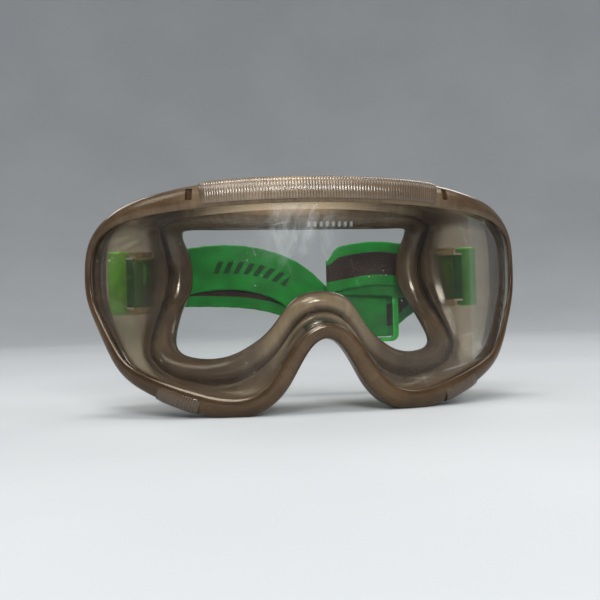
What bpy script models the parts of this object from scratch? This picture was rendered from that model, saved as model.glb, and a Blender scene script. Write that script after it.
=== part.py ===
"""Wide-vision safety goggles with an elastic headband.

+Z is up, -Y is out of the front of the lens and +X is to the wearer's left. "Left" and
"right" in names are as seen from the front, so right is +X. The goggles stand on the
flats under the two cheek lobes, with the origin on the ground.

Sizes are in millimetres. Model points are measured from the lens centre's height and
the foremost line of the lens surface; placed() moves them to the ground frame, in metres.
"""
import math

import bmesh
import bpy
import numpy as np
from mathutils import Vector
from mathutils.geometry import delaunay_2d_cdt

for leftover in list(bpy.data.objects):
    bpy.data.objects.remove(leftover, do_unlink=True)

MM = 0.001

# ---- driving dimensions -------------------------------------------------------
GROUND = 43.2            # lens centre height over the flats that the goggles stand on
DEPTH_CENTRE = 41.3      # distance from the lens front to the origin, front to back
WRAP_A, WRAP_B = 95.0, 48.0   # half axes of the ellipse that the lens follows in plan
STATIONS = 90            # stations round the rim

LENS_T = 1.8             # lens thickness
LENS_GAP = 0.3           # play round the lens edge in its groove
LENS_TUCK = 2.6          # how far the lens reaches into the rim
LENS_GRID = 6.5          # spacing of the mesh points across the lens
WALL = 1.9               # thickness of the soft side wall
WALL_BULGE = 1.2         # how far the side wall bows outwards
FLANGE_T = 1.9           # thickness of the face seal
SEAL_CREST = 2.8         # how far the rolled seal bulges back

VENT_SETBACK = 6.9       # vent slot's middle behind the lens surface
VENT_DEPTH = 3.0         # vent slot, front to back
VENT_H = 14.0            # height of a slot cutter
TOP_VENTS, TOP_VENT_PITCH, TOP_VENT_W, TOP_VENT_Z = 7, 12.0, 7.5, 44.5
LOW_VENT_W = 5.0
LOW_VENTS = [(53.0, -38.5), (60.5, -35.5)]   # x, z on the right

COVER_T = 1.2            # thickness of a vent cover
COVER_GAP = 0.36
RIB_H = 0.35             # height of a rib on a vent cover
RIB_PITCH = 4.4

STRAP_W, STRAP_T = 20.0, 1.3
PLY = 1.7                # spacing of the two plies of the headband
HALF_PLY = PLY / 2

PIN = (77.0, 52.0, 9.5)  # headband pin, right side (mirrored on the left)
PIN_R = 1.4
CLIP_R, CLIP_IN_R, CLIP_H, CLIP_CAP = 4.4, 3.4, 26.4, 2.3
LOOP_R = (PIN_R + CLIP_IN_R) / 2   # the band's middle line round the pin
SWEEP = math.radians(33.0)         # direction in which the headband leaves its pin

BRACKET_H, BRACKET_T = 26.6, 1.6
BRACKET_FRONT, BRACKET_REAR = 4.7, -2.6   # forward of the pin's axis
BRACKET_RUN = (4.9, 9.0, 13.6)            # sections, along the headband from the pin
BRACKET_PLAY = 1.2                        # over and under the band
FOOT_HALF_H = 6.5
RIB_RUN = (7.6, 11.2)                     # ribs, along the headband from the pin

SLIDER_X, SLIDER_Z, SLIDER_W, SLIDER_H = 37.5, -7.0, 23.0, 24.4
SLIDER_CORNER_R = 3.6
SLIDER_BAR = 2.7         # width of each outer bar
SLIDER_MID_HALF = 2.0    # half width of the middle bar
SLIDER_FRONT_T, SLIDER_REAR_T = 2.0, 1.8
SLIDER_PLAY = 0.8        # over and under the band
SLIDER_PLY_GAP = 0.4     # in front of and behind the band
PLY_FRONT_Y = 70.1       # front ply at the slider
PLY_REAR_Y = PLY_FRONT_Y + PLY

FOLD_X, FOLD_Y, FOLD_Z, FOLD_R = 60.0, 68.9, 9.0, 2.9   # fold behind the slider
TURN_X, TURN_Z, TURN_R = 16.0, 13.8, 1.05               # fold at the middle
TURN_Y = FOLD_Y - FOLD_R - TURN_R
LONG_STEP, SHORT_STEP = 4.5, 3.2   # point spacing on the headband's paths

# Outline of the rim, right half, top middle to nose:
# x, z, width of the rim, depth of the rim band.
OUTLINE = [
    (0.0, 46.9, 9.6, 10.0), (17.0, 46.7, 9.6, 10.0), (34.0, 46.1, 9.6, 10.0),
    (48.0, 44.9, 9.2, 10.0), (61.0, 42.6, 8.2, 10.0), (74.0, 38.9, 6.8, 9.5),
    (83.5, 32.6, 5.4, 9.0), (88.6, 24.0, 4.7, 9.0), (90.0, 13.0, 4.5, 9.0),
    (89.3, 2.0, 4.5, 9.0), (86.2, -8.0, 4.7, 9.0), (82.0, -18.5, 5.2, 9.0),
    (76.5, -27.5, 6.0, 9.0), (67.0, -34.3, 7.0, 9.0), (56.0, -39.2, 7.6, 9.0),
    (45.0, -42.7, 7.8, 9.0), (35.0, -43.9, 7.8, 9.0), (27.0, -42.3, 7.6, 8.5),
    (21.0, -38.9, 7.2, 8.0), (16.0, -33.8, 6.8, 7.4), (12.3, -28.0, 6.5, 7.0),
    (9.0, -22.4, 6.3, 6.6), (5.0, -17.2, 6.2, 6.4), (0.0, -14.8, 6.2, 6.4),
]
# Free edge of the face seal (x, y, z), one row for each row of OUTLINE.
SEAL_IN = [
    (0.0, 32.0, 29.5), (14.0, 33.2, 29.8), (27.0, 37.5, 30.2), (37.0, 44.0, 31.0),
    (44.5, 51.0, 31.9), (49.0, 56.0, 31.4), (49.3, 58.6, 27.6), (46.9, 59.5, 21.5),
    (45.8, 59.5, 13.0), (46.8, 58.6, 5.0), (50.0, 55.6, -1.5), (52.8, 50.6, -9.0),
    (54.2, 44.0, -16.2), (51.5, 38.0, -20.6), (45.0, 32.6, -22.2), (38.5, 28.4, -22.0),
    (32.5, 24.8, -20.3), (27.0, 21.3, -17.2), (21.4, 18.2, -13.0), (16.6, 15.9, -7.5),
    (12.6, 14.0, -1.6), (8.7, 12.7, 1.8), (4.4, 12.0, 3.3), (0.0, 11.8, 3.7),
]
# Outer edge of the face seal (x, y, z), where the side wall meets it.
SEAL_OUT = [
    (0.0, 29.5, 40.5), (17.0, 31.0, 40.6), (33.0, 35.8, 40.4), (45.5, 42.6, 39.8),
    (54.5, 48.6, 38.4), (60.6, 53.0, 35.2), (61.2, 55.4, 30.0), (58.8, 56.5, 23.0),
    (57.4, 56.5, 13.0), (59.4, 55.2, 3.2), (63.4, 51.8, -6.0), (66.2, 46.4, -14.2),
    (66.0, 40.4, -22.0), (60.6, 34.8, -28.2), (52.2, 29.8, -31.8), (43.2, 25.4, -33.2),
    (34.4, 21.6, -32.6), (26.4, 17.8, -29.2), (20.2, 14.6, -24.2), (15.5, 12.2, -18.6),
    (11.5, 10.7, -12.7), (8.2, 9.8, -8.7), (4.3, 9.3, -6.4), (0.0, 9.1, -5.7),
]


# ---- curves -------------------------------------------------------------------
def unit(vectors):
    """Each row scaled to length one."""
    return vectors / np.linalg.norm(vectors, axis=1)[:, None]


def closed_spline(points):
    """Points and slopes of the periodic cubic through points, one knot per point."""
    points = np.asarray(points, float)
    count = len(points)
    matrix = np.zeros((count, count))
    for i in range(count):
        matrix[i, i], matrix[i, (i - 1) % count], matrix[i, (i + 1) % count] = 4.0, 1.0, 1.0
    slopes = np.linalg.solve(matrix, 3.0 * (np.roll(points, -1, 0) - np.roll(points, 1, 0)))
    return points, slopes


def on_closed(curve, params):
    """Points of a closed spline. Parameters past either end wrap round."""
    points, slopes = curve
    knot = np.floor(params).astype(int)
    f = (params - knot)[:, None]
    a, b = knot % len(points), (knot + 1) % len(points)
    return (
        (2 * f**3 - 3 * f**2 + 1) * points[a] + (f**3 - 2 * f**2 + f) * slopes[a]
        + (-2 * f**3 + 3 * f**2) * points[b] + (f**3 - f**2) * slopes[b]
    )


def open_spline(points, step):
    """Points about step apart on the natural cubic through points."""
    p = np.asarray(points, float)
    count = len(p)
    knots = np.concatenate([[0], np.cumsum(np.sqrt(np.linalg.norm(np.diff(p, axis=0), axis=1)))])
    h = np.diff(knots)
    matrix, right = np.zeros((count, count)), np.zeros_like(p)
    matrix[0, 0] = matrix[-1, -1] = 1.0
    for i in range(1, count - 1):
        matrix[i, i - 1:i + 2] = h[i - 1], 2 * (h[i - 1] + h[i]), h[i]
        right[i] = 6 * ((p[i + 1] - p[i]) / h[i] - (p[i] - p[i - 1]) / h[i - 1])
    bend = np.linalg.solve(matrix, right)
    path = []
    for i in range(count - 1):
        pieces = max(1, int(round(np.linalg.norm(p[i + 1] - p[i]) / step)))
        for f in np.arange(pieces) / pieces:
            a, b = (1 - f) * h[i], f * h[i]
            path.append(
                bend[i] * a**3 / (6 * h[i]) + bend[i + 1] * b**3 / (6 * h[i])
                + (p[i] / h[i] - bend[i] * h[i] / 6) * a
                + (p[i + 1] / h[i] - bend[i + 1] * h[i] / 6) * b
            )
    path.append(p[-1])
    return np.array(path)


def mirrored(half):
    """The whole closed ring: right half from top to nose, then the left half back up."""
    return half + [(-row[0],) + row[1:] for row in half[-2:0:-1]]


# ---- the wrap: the lens surface, developed flat and bent -------------------------
def plan_y(x):
    return WRAP_B * (1.0 - np.sqrt(1.0 - (x / WRAP_A) ** 2))


def plan_slope(x):
    return WRAP_B * x / (WRAP_A**2 * np.sqrt(1.0 - (x / WRAP_A) ** 2))


ARC_X = np.linspace(0.0, 94.0, 3000)   # stops just short of the ellipse's end
ARC_S = np.concatenate([[0.0], np.cumsum(np.hypot(np.diff(ARC_X), np.diff(plan_y(ARC_X))))])


def arc_of(x):
    """Developed distance from the middle at x."""
    return np.sign(x) * np.interp(np.abs(x), ARC_X, ARC_S)


def wrapped(flat, raised):
    """Developed points (s, z), raised forward out of the lens surface, as x, y, z."""
    s, z = flat[:, 0], flat[:, 1]
    x = np.sign(s) * np.interp(np.abs(s), ARC_S, ARC_X)
    slope = plan_slope(x)
    length = np.hypot(1.0, slope)
    return np.stack([x + raised * slope / length, plan_y(x) - raised / length, z], -1)


RIM = closed_spline([(arc_of(x), z, width, band) for x, z, width, band in mirrored(OUTLINE)])
IN_RING = closed_spline(mirrored(SEAL_IN))
OUT_RING = closed_spline(mirrored(SEAL_OUT))
KNOTS = len(RIM[0])


def even_stations(count):
    """Spline parameters that divide the rim into count equal lengths."""
    params = np.linspace(0.0, KNOTS, 4001)
    flat = on_closed(RIM, params)[:, :2]
    steps = np.linalg.norm(np.diff(flat, axis=0), axis=1)
    run = np.concatenate([[0.0], np.cumsum(steps)])
    return np.interp(np.arange(count) / count * run[-1], run, params)


def rim_frame(params):
    """Developed point, inward normal, rim width and band depth."""
    here = on_closed(RIM, params)
    ahead, behind = on_closed(RIM, params + 0.02), on_closed(RIM, params - 0.02)
    tangent = unit(ahead[:, :2] - behind[:, :2])
    inward = np.stack([tangent[:, 1], -tangent[:, 0]], -1)   # the ring runs clockwise
    return here[:, :2], inward, here[:, 2], here[:, 3]


def rim_point(params, inset, raised):
    """Points inset from the outline and raised in front of the lens surface."""
    flat, inward, _, _ = rim_frame(params)
    inset = np.broadcast_to(inset, params.shape)
    return wrapped(flat + inward * inset[:, None], raised)


# ---- mesh tools -----------------------------------------------------------------
def placed(points):
    """Model millimetres to the ground frame in metres."""
    return (np.asarray(points, float) + (0.0, -DEPTH_CENTRE, GROUND)) * MM


def new_object(name, shape, mat, origin=(0.0, 0.0, 0.0), sharp=35.0):
    """Object from shape (points, faces), its origin at origin in model millimetres."""
    points, faces = shape
    base = placed([origin])[0]
    mesh = bpy.data.meshes.new(name)
    mesh.from_pydata([tuple(v) for v in placed(points) - base], [], faces)
    bm = bmesh.new()
    bm.from_mesh(mesh)
    bmesh.ops.recalc_face_normals(bm, faces=bm.faces)
    bm.to_mesh(mesh)
    bm.free()
    mesh.materials.append(mat)
    mesh.shade_smooth()
    mesh.set_sharp_from_angle(angle=math.radians(sharp))
    made = bpy.data.objects.new(name, mesh)
    made.location = base
    bpy.context.scene.collection.objects.link(made)
    return made


def ring_sweep(rows, closed):
    """Shape between rows of equal length, each row a closed section."""
    rows = np.asarray(rows, float)
    count, size = rows.shape[:2]
    faces = []
    for i in range(count if closed else count - 1):
        j = (i + 1) % count
        for k in range(size):
            m = (k + 1) % size
            faces.append((i * size + k, i * size + m, j * size + m, j * size + k))
    if not closed:
        faces.append(tuple(range(size))[::-1])
        faces.append(tuple((count - 1) * size + k for k in range(size)))
    return rows.reshape(-1, 3), faces


def prism(section, low, high, lift):
    """Prism on plane points. lift(point, height) gives a model point."""
    n = len(section)
    points = [lift(p, low) for p in section] + [lift(p, high) for p in section]
    faces = [tuple(range(n))[::-1], tuple(range(n, 2 * n))]
    faces += [(i, (i + 1) % n, n + (i + 1) % n, n + i) for i in range(n)]
    return points, faces


def rectangle(u_low, u_high, v_low, v_high):
    return [(u_low, v_low), (u_high, v_low), (u_high, v_high), (u_low, v_high)]


def boolean(target, helper, operation):
    """Live boolean on target; the helper object is hidden."""
    modifier = target.modifiers.new(operation.title(), "BOOLEAN")
    modifier.operation = operation
    modifier.solver = "EXACT"
    modifier.object = helper
    helper.hide_render = True
    helper.display_type = "WIRE"
    helper.hide_set(True)


# ---- materials ------------------------------------------------------------------
def material(name, colour, roughness, alpha=1.0, transmission=0.0):
    made = bpy.data.materials.new(name)
    made.use_nodes = True
    inputs = made.node_tree.nodes["Principled BSDF"].inputs
    inputs["Base Color"].default_value = (*colour, 1.0)
    inputs["Roughness"].default_value = roughness
    inputs["Alpha"].default_value = alpha
    inputs["Transmission Weight"].default_value = transmission
    return made


SOFT_PVC = material("smoky_soft_pvc", colour=(0.055, 0.042, 0.032), roughness=0.25, alpha=0.85)
CLEAR_LENS = material(
    "clear_lens", colour=(0.86, 0.89, 0.90), roughness=0.05, transmission=1.0
)
COVER_PVC = material("vent_cover_pvc", colour=(0.15, 0.115, 0.085), roughness=0.35)
CLEAR_BRACKET = material(
    "clear_bracket", colour=(0.50, 0.44, 0.36), roughness=0.15, transmission=0.7
)
GREEN_PLASTIC = material("green_plastic", colour=(0.05, 0.32, 0.03), roughness=0.25)
WEBBING = material("green_elastic", colour=(0.008, 0.11, 0.02), roughness=0.85)


# ---- frame body: one soft moulding of rim, side wall and face seal ---------------
def floor_flat(points):
    """Points below ground level, under the cheek lobes, lifted to it."""
    points[:, 2] = np.maximum(points[:, 2], -GROUND)
    return points


def frame_sections():
    """The moulding's section at each station round the rim."""
    params = even_stations(STATIONS)
    _, _, rim_w, band = rim_frame(params)
    inner = on_closed(IN_RING, params)
    outer = on_closed(OUT_RING, params)
    across = unit(inner - outer)
    along = unit(np.roll(outer, -1, 0) - np.roll(outer, 1, 0))
    back = unit(np.cross(across, along))
    back[back[:, 1] < 0] *= -1

    tuck = rim_w - LENS_TUCK - LENS_GAP
    groove_back = -(LENS_GAP + LENS_T + LENS_GAP)
    wall_inset = np.clip(rim_w - 1.7, 2.9, 4.6)
    root_out = rim_point(params, wall_inset - WALL, -band - 0.3)
    root_in = rim_point(params, wall_inset, -band + 0.9)
    wall_end = outer - across * 0.4

    # Normal of the side wall, turned to point inwards.
    wall_normal = unit(np.cross(outer - root_out, along))
    inwards = np.mean([inner, root_in], axis=0) - np.mean([outer, root_out], axis=0)
    wall_normal[np.sum(wall_normal * inwards, axis=1) < 0] *= -1

    def wall_at(fraction, depth):
        """Point part of the way down the wall, depth in from its outer face."""
        bow = -math.sin(math.pi * fraction) * WALL_BULGE
        return root_out * (1 - fraction) + wall_end * fraction + wall_normal * (bow + depth)

    section = [
        # front of the rim, from the window outwards
        rim_point(params, rim_w, 0.75),
        rim_point(params, rim_w * 0.62, 1.55),
        rim_point(params, rim_w * 0.25, 1.35),
        floor_flat(rim_point(params, 0.35, 0.65)),
        # outside of the rim band
        floor_flat(rim_point(params, 0.0, -0.6)),
        floor_flat(rim_point(params, 0.0, -band)),
        floor_flat(rim_point(params, 0.5, -band - 0.3)),
        # outside of the side wall
        root_out,
        wall_at(0.33, 0.0),
        wall_at(0.66, 0.0),
        wall_end + back * 0.3,
        # back of the rolled seal, out to its free edge
        outer + across * 1.6 + back * 2.1,
        outer * 0.58 + inner * 0.42 + back * SEAL_CREST,
        inner - across * 1.8 + back * 1.7,
        inner + back * 0.2,
        # front of the seal
        inner - across * 0.5 - back * 0.9,
        outer * 0.5 + inner * 0.5 + back * (SEAL_CREST - FLANGE_T - 0.2),
        outer + across * 2.6 - back * 0.4,
        # inside of the side wall
        wall_at(0.66, WALL),
        wall_at(0.33, WALL),
        root_in,
        # lip behind the lens, then the lens groove
        rim_point(params, rim_w - 1.5, -4.9),
        rim_point(params, rim_w - 0.7, -4.3),
        rim_point(params, rim_w - 0.7, groove_back),
        rim_point(params, tuck, groove_back),
        rim_point(params, tuck, 0.0),
        rim_point(params, rim_w, 0.0),
    ]
    return np.stack(section, 1)


def cut_vent(body, name, x, z, width):
    """Slot through the rim band, square to the wrap."""
    y = plan_y(x) + VENT_SETBACK
    angle = math.atan(plan_slope(x))
    c, s = math.cos(angle), math.sin(angle)
    shape = prism(
        rectangle(-width / 2, width / 2, -VENT_DEPTH / 2, VENT_DEPTH / 2),
        z - VENT_H / 2, z + VENT_H / 2,
        lambda p, height: (x + p[0] * c - p[1] * s, y + p[0] * s + p[1] * c, height),
    )
    boolean(body, new_object(name, shape, SOFT_PVC), "DIFFERENCE")


def frame_body():
    body = new_object("frame_body", ring_sweep(frame_sections(), True), SOFT_PVC)
    for i in range(TOP_VENTS):
        x = (i - (TOP_VENTS - 1) / 2) * TOP_VENT_PITCH
        cut_vent(body, f"cut_top_vent_{i}", x, TOP_VENT_Z, TOP_VENT_W)
    for side, tag in ((-1, "l"), (1, "r")):
        for i, (x, z) in enumerate(LOW_VENTS):
            cut_vent(body, f"cut_low_vent_{tag}{i}", side * x, z, LOW_VENT_W)


# ---- lens: a sheet bent to the wrap ----------------------------------------------
def lens():
    flat, inward, rim_w, _ = rim_frame(even_stations(STATIONS))
    edge = flat + inward * (rim_w - LENS_TUCK)[:, None]
    low, high = edge.min(0), edge.max(0)
    grid = []
    for s in np.arange(low[0] + LENS_GRID * 0.6, high[0], LENS_GRID):
        for z in np.arange(low[1] + LENS_GRID * 0.6, high[1], LENS_GRID * 2.2):
            # Points too near the edge would make slivers.
            if np.min(np.hypot(edge[:, 0] - s, edge[:, 1] - z)) > LENS_GRID * 0.55:
                grid.append((s, z))
    # Output type 1 keeps only the triangles inside the outline.
    flat_points = [Vector(p) for p in edge] + [Vector(p) for p in grid]
    verts, _, tris, *_ = delaunay_2d_cdt(flat_points, [], [list(range(STATIONS))], 1, 1e-6)
    sheet = np.array([tuple(v) for v in verts])
    n = len(sheet)
    front = wrapped(sheet, -LENS_GAP)
    rear = wrapped(sheet, -LENS_GAP - LENS_T)
    faces = [tuple(f) for f in tris] + [tuple(i + n for i in f[::-1]) for f in tris]
    # A directed edge with no opposite lies on the outline and gets a side face.
    edges = {(a, b): None for f in tris for a, b in zip(f, list(f[1:]) + [f[0]])}
    faces += [(b, a, a + n, b + n) for a, b in edges if (b, a) not in edges]
    new_object("lens", (np.concatenate([front, rear]), faces), CLEAR_LENS)


# ---- vent covers: ribbed strips over the slots -----------------------------------
def parameter_at(x, top):
    """Spline parameter of the rim where it passes x, on its top or bottom edge."""
    params = np.linspace(0.0, KNOTS, 6001)
    flat = on_closed(RIM, params)
    on_edge = (flat[:, 1] > 20) if top else (flat[:, 1] < -20)
    gap = np.where(on_edge, np.abs(flat[:, 0] - arc_of(x)), 1e9)
    return params[int(np.argmin(gap))]


def vent_cover(name, x_start, x_end, top, front_reach, rear_reach):
    first, last = sorted((parameter_at(x_start, top), parameter_at(x_end, top)))
    if last - first > KNOTS / 2:   # the strip crosses the start of the ring
        first, last = last - KNOTS, first
    length = abs(arc_of(x_end) - arc_of(x_start))
    count = 2 * int(length / RIB_PITCH) + 1
    params = np.linspace(first, last, count)
    rib = RIB_H * (np.arange(count) % 2)   # every other station is a rib crest
    under, over = COVER_GAP, COVER_GAP + COVER_T
    rows = [
        # underside, from the front face of the rim to the rear of the band
        rim_point(params, front_reach, 1.62 + under),
        rim_point(params, 1.9, 1.55 + under),
        rim_point(params, 0.5 - under * 0.4, 0.95 + under * 0.9),
        rim_point(params, -under, -0.5),
        rim_point(params, -under, -rear_reach),
        # ribbed outside, back to the front
        rim_point(params, -over, -rear_reach),
        rim_point(params, -over - rib, -rear_reach + 0.8),
        rim_point(params, -over - rib, -0.2),
        rim_point(params, -0.35 - rib * 0.7, 1.35 + under + rib * 0.7),
        rim_point(params, 1.7, 1.5 + over + rib),
        rim_point(params, front_reach, 1.6 + under + COVER_T * 0.8),
    ]
    new_object(name, ring_sweep(np.stack(rows, 1), False), COVER_PVC, sharp=25.0)


# ---- headband hardware at each side ----------------------------------------------
def pin_at(side):
    return (side * PIN[0], PIN[1], PIN[2])


def side_point(side, along_run, forward, height=0.0):
    """Point by the pin: along the headband's run, to its front face, over the pin's middle."""
    x = PIN[0] - math.cos(SWEEP) * along_run - math.sin(SWEEP) * forward
    y = PIN[1] + math.sin(SWEEP) * along_run - math.cos(SWEEP) * forward
    return (side * x, y, PIN[2] + height)


def side_prism(side, section, low, high):
    """Upright prism on points (along_run, forward)."""
    return prism(section, low, high, lambda p, height: side_point(side, *p, height))


def arc_points(radius, angles):
    return [(radius * math.cos(a), radius * math.sin(a)) for a in angles]


def disc(radius, count):
    return arc_points(radius, [2 * math.pi * i / count for i in range(count)])


def clip(side, tag):
    """Bar that holds the headband: a shell round a pin, closed by a cap at each end."""
    half = CLIP_H / 2
    start, end = math.radians(76), math.radians(250)
    angles = [start + (end - start) * i / 14 for i in range(15)]
    shell = arc_points(CLIP_R * 0.995, angles) + arc_points(CLIP_IN_R, angles[::-1])
    cap = disc(CLIP_R, 24)

    def part(name, section, low, high):
        shape = side_prism(side, section, low, high)
        return new_object(f"{name}_{tag}", shape, GREEN_PLASTIC, pin_at(side))

    top = part("strap_clip", cap, half - CLIP_CAP, half)
    for helper in (
        part("cut_clip_low", cap, -half, -half + CLIP_CAP),
        part("cut_clip_pin", disc(PIN_R, 12), -half + 0.8, half - 0.8),
        part("cut_clip_shell", shell, -half + 0.7, half - 0.7),
    ):
        boolean(top, helper, "UNION")


def bracket(side, tag):
    """Clear channel round the front of the headband's run, open to the rear."""
    half = BRACKET_H / 2
    inside = STRAP_W / 2 + BRACKET_PLAY
    web = BRACKET_FRONT - BRACKET_T
    profile = [   # forward, height
        (BRACKET_REAR, -half), (BRACKET_FRONT, -half),
        (BRACKET_FRONT, half), (BRACKET_REAR, half),
        (BRACKET_REAR, inside), (web, inside),
        (web, -inside), (BRACKET_REAR, -inside),
    ]
    rows = [[side_point(side, run, *p) for p in profile] for run in BRACKET_RUN]
    made = new_object(f"strap_bracket_{tag}", ring_sweep(rows, False), CLEAR_BRACKET)

    def add(name, section, half_height):
        shape = side_prism(side, section, -half_height, half_height)
        boolean(made, new_object(name, shape, CLEAR_BRACKET), "UNION")

    # Pad and two ribs on the front face; sections are (along_run, forward).
    add(f"cut_foot_{tag}", [(6.0, 4.2), (12.6, 4.2), (12.2, 5.6), (7.0, 6.2)], FOOT_HALF_H)
    for i, run in enumerate(RIB_RUN):
        rib = [(run - 0.45, 4.4), (run + 0.45, 4.4), (run + 0.3, 5.2), (run - 0.3, 5.2)]
        add(f"cut_rib_{tag}{i}", rib, half - 1.2)


# ---- headband ----------------------------------------------------------------------
def ribbon(name, path, origin):
    """Flat elastic band swept along path, its width as near upright as the path allows."""
    tangent = unit(np.gradient(path, axis=0))
    up = np.tile((0.0, 0.0, 1.0), (len(path), 1))
    up = unit(up - tangent * np.sum(up * tangent, axis=1)[:, None])
    edge = up * (STRAP_W / 2)
    face = np.cross(tangent, up) * (STRAP_T / 2)
    rows = [path + edge - face, path - edge - face, path - edge + face, path + edge + face]
    new_object(name, ring_sweep(np.stack(rows, 1), False), WEBBING, origin)


def round_pin(side):
    """Middle line round the outer side of the pin, from the front ply to the rear one."""
    angles = np.radians(np.linspace(90, 270, 13))
    return [side_point(side, *p) for p in arc_points(LOOP_R, angles)]


def leave_pin(side, ply):
    """First points away from the pin, on the front (1) or rear (-1) ply."""
    return [
        side_point(side, 5.0, ply * LOOP_R * 0.86),
        side_point(side, 12.5, ply * (HALF_PLY + 0.1)),
    ]


# Middle lines of the plies (x, y, z), going right from the left pin.
FRONT_PLY = [
    (-57.0, 62.4, 12.0), (-46.0, 64.9, 14.8), (-29.0, 66.6, 16.2), (-14.0, 67.4, 14.0),
    (-3.0, 68.1, 9.6), (4.5, 68.7, 3.9), (11.0, 69.5, -2.6),
    (16.0, PLY_FRONT_Y - 0.04, -6.3), (20.0, PLY_FRONT_Y, SLIDER_Z),
    (25.0, PLY_FRONT_Y, SLIDER_Z), (35.0, PLY_FRONT_Y, SLIDER_Z),
    (44.0, PLY_FRONT_Y, SLIDER_Z),
]
# The rear ply runs on past the slider and swings back and up.
REAR_PLY = [
    (-57.5, 64.4, 9.2), (-46.0, 66.8, 9.0), (-29.0, 68.5, 8.4), (-14.0, 69.3, 6.6),
    (-3.0, 70.0, 3.6), (4.5, 70.5, -0.2), (11.0, 71.2, -4.6),
    (16.0, PLY_REAR_Y - 0.04, -6.6), (20.0, PLY_REAR_Y, SLIDER_Z),
    (25.0, PLY_REAR_Y, SLIDER_Z), (36.0, PLY_REAR_Y, SLIDER_Z),
    (43.0, PLY_REAR_Y, SLIDER_Z), (46.6, 73.4, -7.15), (48.3, 76.9, -6.6),
    (50.2, 80.4, -4.2), (53.8, 82.5, 0.0), (57.4, 80.9, 4.2), (59.8, 77.3, 6.9),
    (60.4, 74.2, 8.0),
]
# From the end of the rear ply, round the fold and back towards the middle.
FOLD_PATH = [
    (60.4, 72.9, 8.4), (59.6, 69.8, 9.3), (57.0, 67.2, 10.3), (53.0, 66.0, 10.8),
    (45.0, 66.0, 12.0), (30.0, 66.0, 13.4), (19.0, 66.0, 13.6),
]
# Rear ply of the right run, from the right pin to the fold at the middle.
RIGHT_PLY = [
    (60.0, 62.3, 12.2), (54.0, 63.3, 14.6), (46.0, TURN_Y - TURN_R, 16.2),
    (36.0, TURN_Y - TURN_R, 16.8), (26.0, TURN_Y - TURN_R, 15.6),
    (18.0, TURN_Y - TURN_R, 14.2),
]


def headband_left_run():
    """From the slider to the left pin on the front ply, and back on the rear one."""
    loop = round_pin(-1)
    path = np.concatenate([
        open_spline(FRONT_PLY[::-1] + leave_pin(-1, 1)[::-1] + loop[:1], LONG_STEP),
        np.array(loop[1:-1]),
        open_spline(loop[-1:] + leave_pin(-1, -1) + REAR_PLY, SHORT_STEP),
    ])
    ribbon("headband_left_run", path, pin_at(-1))


def headband_fold():
    ribbon("headband_fold", open_spline(FOLD_PATH, SHORT_STEP), (FOLD_X, FOLD_Y, FOLD_Z))


def headband_right_run():
    """Short front tail, round the right pin, then to the fold at the middle."""
    tail = [
        side_point(1, 15.0, HALF_PLY),
        side_point(1, 10.0, HALF_PLY + 0.1),
        side_point(1, 5.0, LOOP_R * 0.86),
    ]
    loop = round_pin(1)
    turn = [
        (TURN_X + x, TURN_Y + y, TURN_Z)
        for x, y in arc_points(TURN_R, np.radians(np.linspace(100, 260, 9)))
    ]
    path = np.concatenate([
        open_spline(tail + loop[:1], LONG_STEP),
        np.array(loop[1:-1]),
        open_spline(loop[-1:] + leave_pin(1, -1) + RIGHT_PLY, LONG_STEP),
        np.array(turn[::-1]),
    ])
    ribbon("headband_right_run", path, pin_at(1))


# ---- slider ------------------------------------------------------------------------
def rounded(width, height, radius):
    """Rectangle with rounded corners, centred."""
    x, z = width / 2 - radius, height / 2 - radius
    outline = []
    for corner_x, corner_z, turned in ((x, z, 0), (-x, z, 90), (-x, -z, 180), (x, -z, 270)):
        angles = [math.radians(turned + 90 * i / 5) for i in range(6)]
        outline += [(corner_x + u, corner_z + v) for u, v in arc_points(radius, angles)]
    return outline


def slider():
    """Rounded frame: right bar in front of the band, left and middle bars behind it."""
    front = PLY_FRONT_Y - STRAP_T / 2 - SLIDER_PLY_GAP
    rear = PLY_REAR_Y + STRAP_T / 2 + SLIDER_PLY_GAP
    half_opening = STRAP_W / 2 + SLIDER_PLAY
    bar_edge = SLIDER_W / 2 - SLIDER_BAR
    beyond = 20.0    # past either end of the slider
    overlap = 0.02   # between neighbouring cuts

    def part(name, section, y_low, y_high):
        shape = prism(section, y_low, y_high, lambda p, y: (SLIDER_X + p[0], y, SLIDER_Z + p[1]))
        origin = (SLIDER_X, PLY_FRONT_Y + HALF_PLY, SLIDER_Z)
        return new_object(name, shape, GREEN_PLASTIC, origin)

    plate = rounded(SLIDER_W, SLIDER_H, SLIDER_CORNER_R)
    body = part("slider", plate, front - SLIDER_FRONT_T, rear + SLIDER_REAR_T)
    cuts = [   # name, x from and to, y from and to
        ("window", -beyond, bar_edge, front - 4.0, front),
        ("passage", -beyond, beyond, front - overlap, rear),
        ("rear_l", -bar_edge, -SLIDER_MID_HALF, rear - overlap, rear + 4.0),
        ("rear_r", SLIDER_MID_HALF, beyond, rear - overlap, rear + 4.0),
    ]
    for name, x_low, x_high, y_low, y_high in cuts:
        opening = rectangle(x_low, x_high, -half_opening, half_opening)
        boolean(body, part(f"cut_slider_{name}", opening, y_low, y_high), "DIFFERENCE")


# ---- assembly ------------------------------------------------------------------------
frame_body()
lens()
vent_cover("top_vent_cover", -47.0, 47.0, top=True, front_reach=4.6, rear_reach=8.8)
for side, tag in ((-1, "left"), (1, "right")):
    vent_cover(
        f"lower_vent_cover_{tag}", side * 49.5, side * 64.5,
        top=False, front_reach=3.4, rear_reach=8.0,
    )
for side, tag in ((-1, "left"), (1, "right")):
    clip(side, tag)
    bracket(side, tag)
headband_left_run()
headband_fold()
headband_right_run()
slider()
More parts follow.
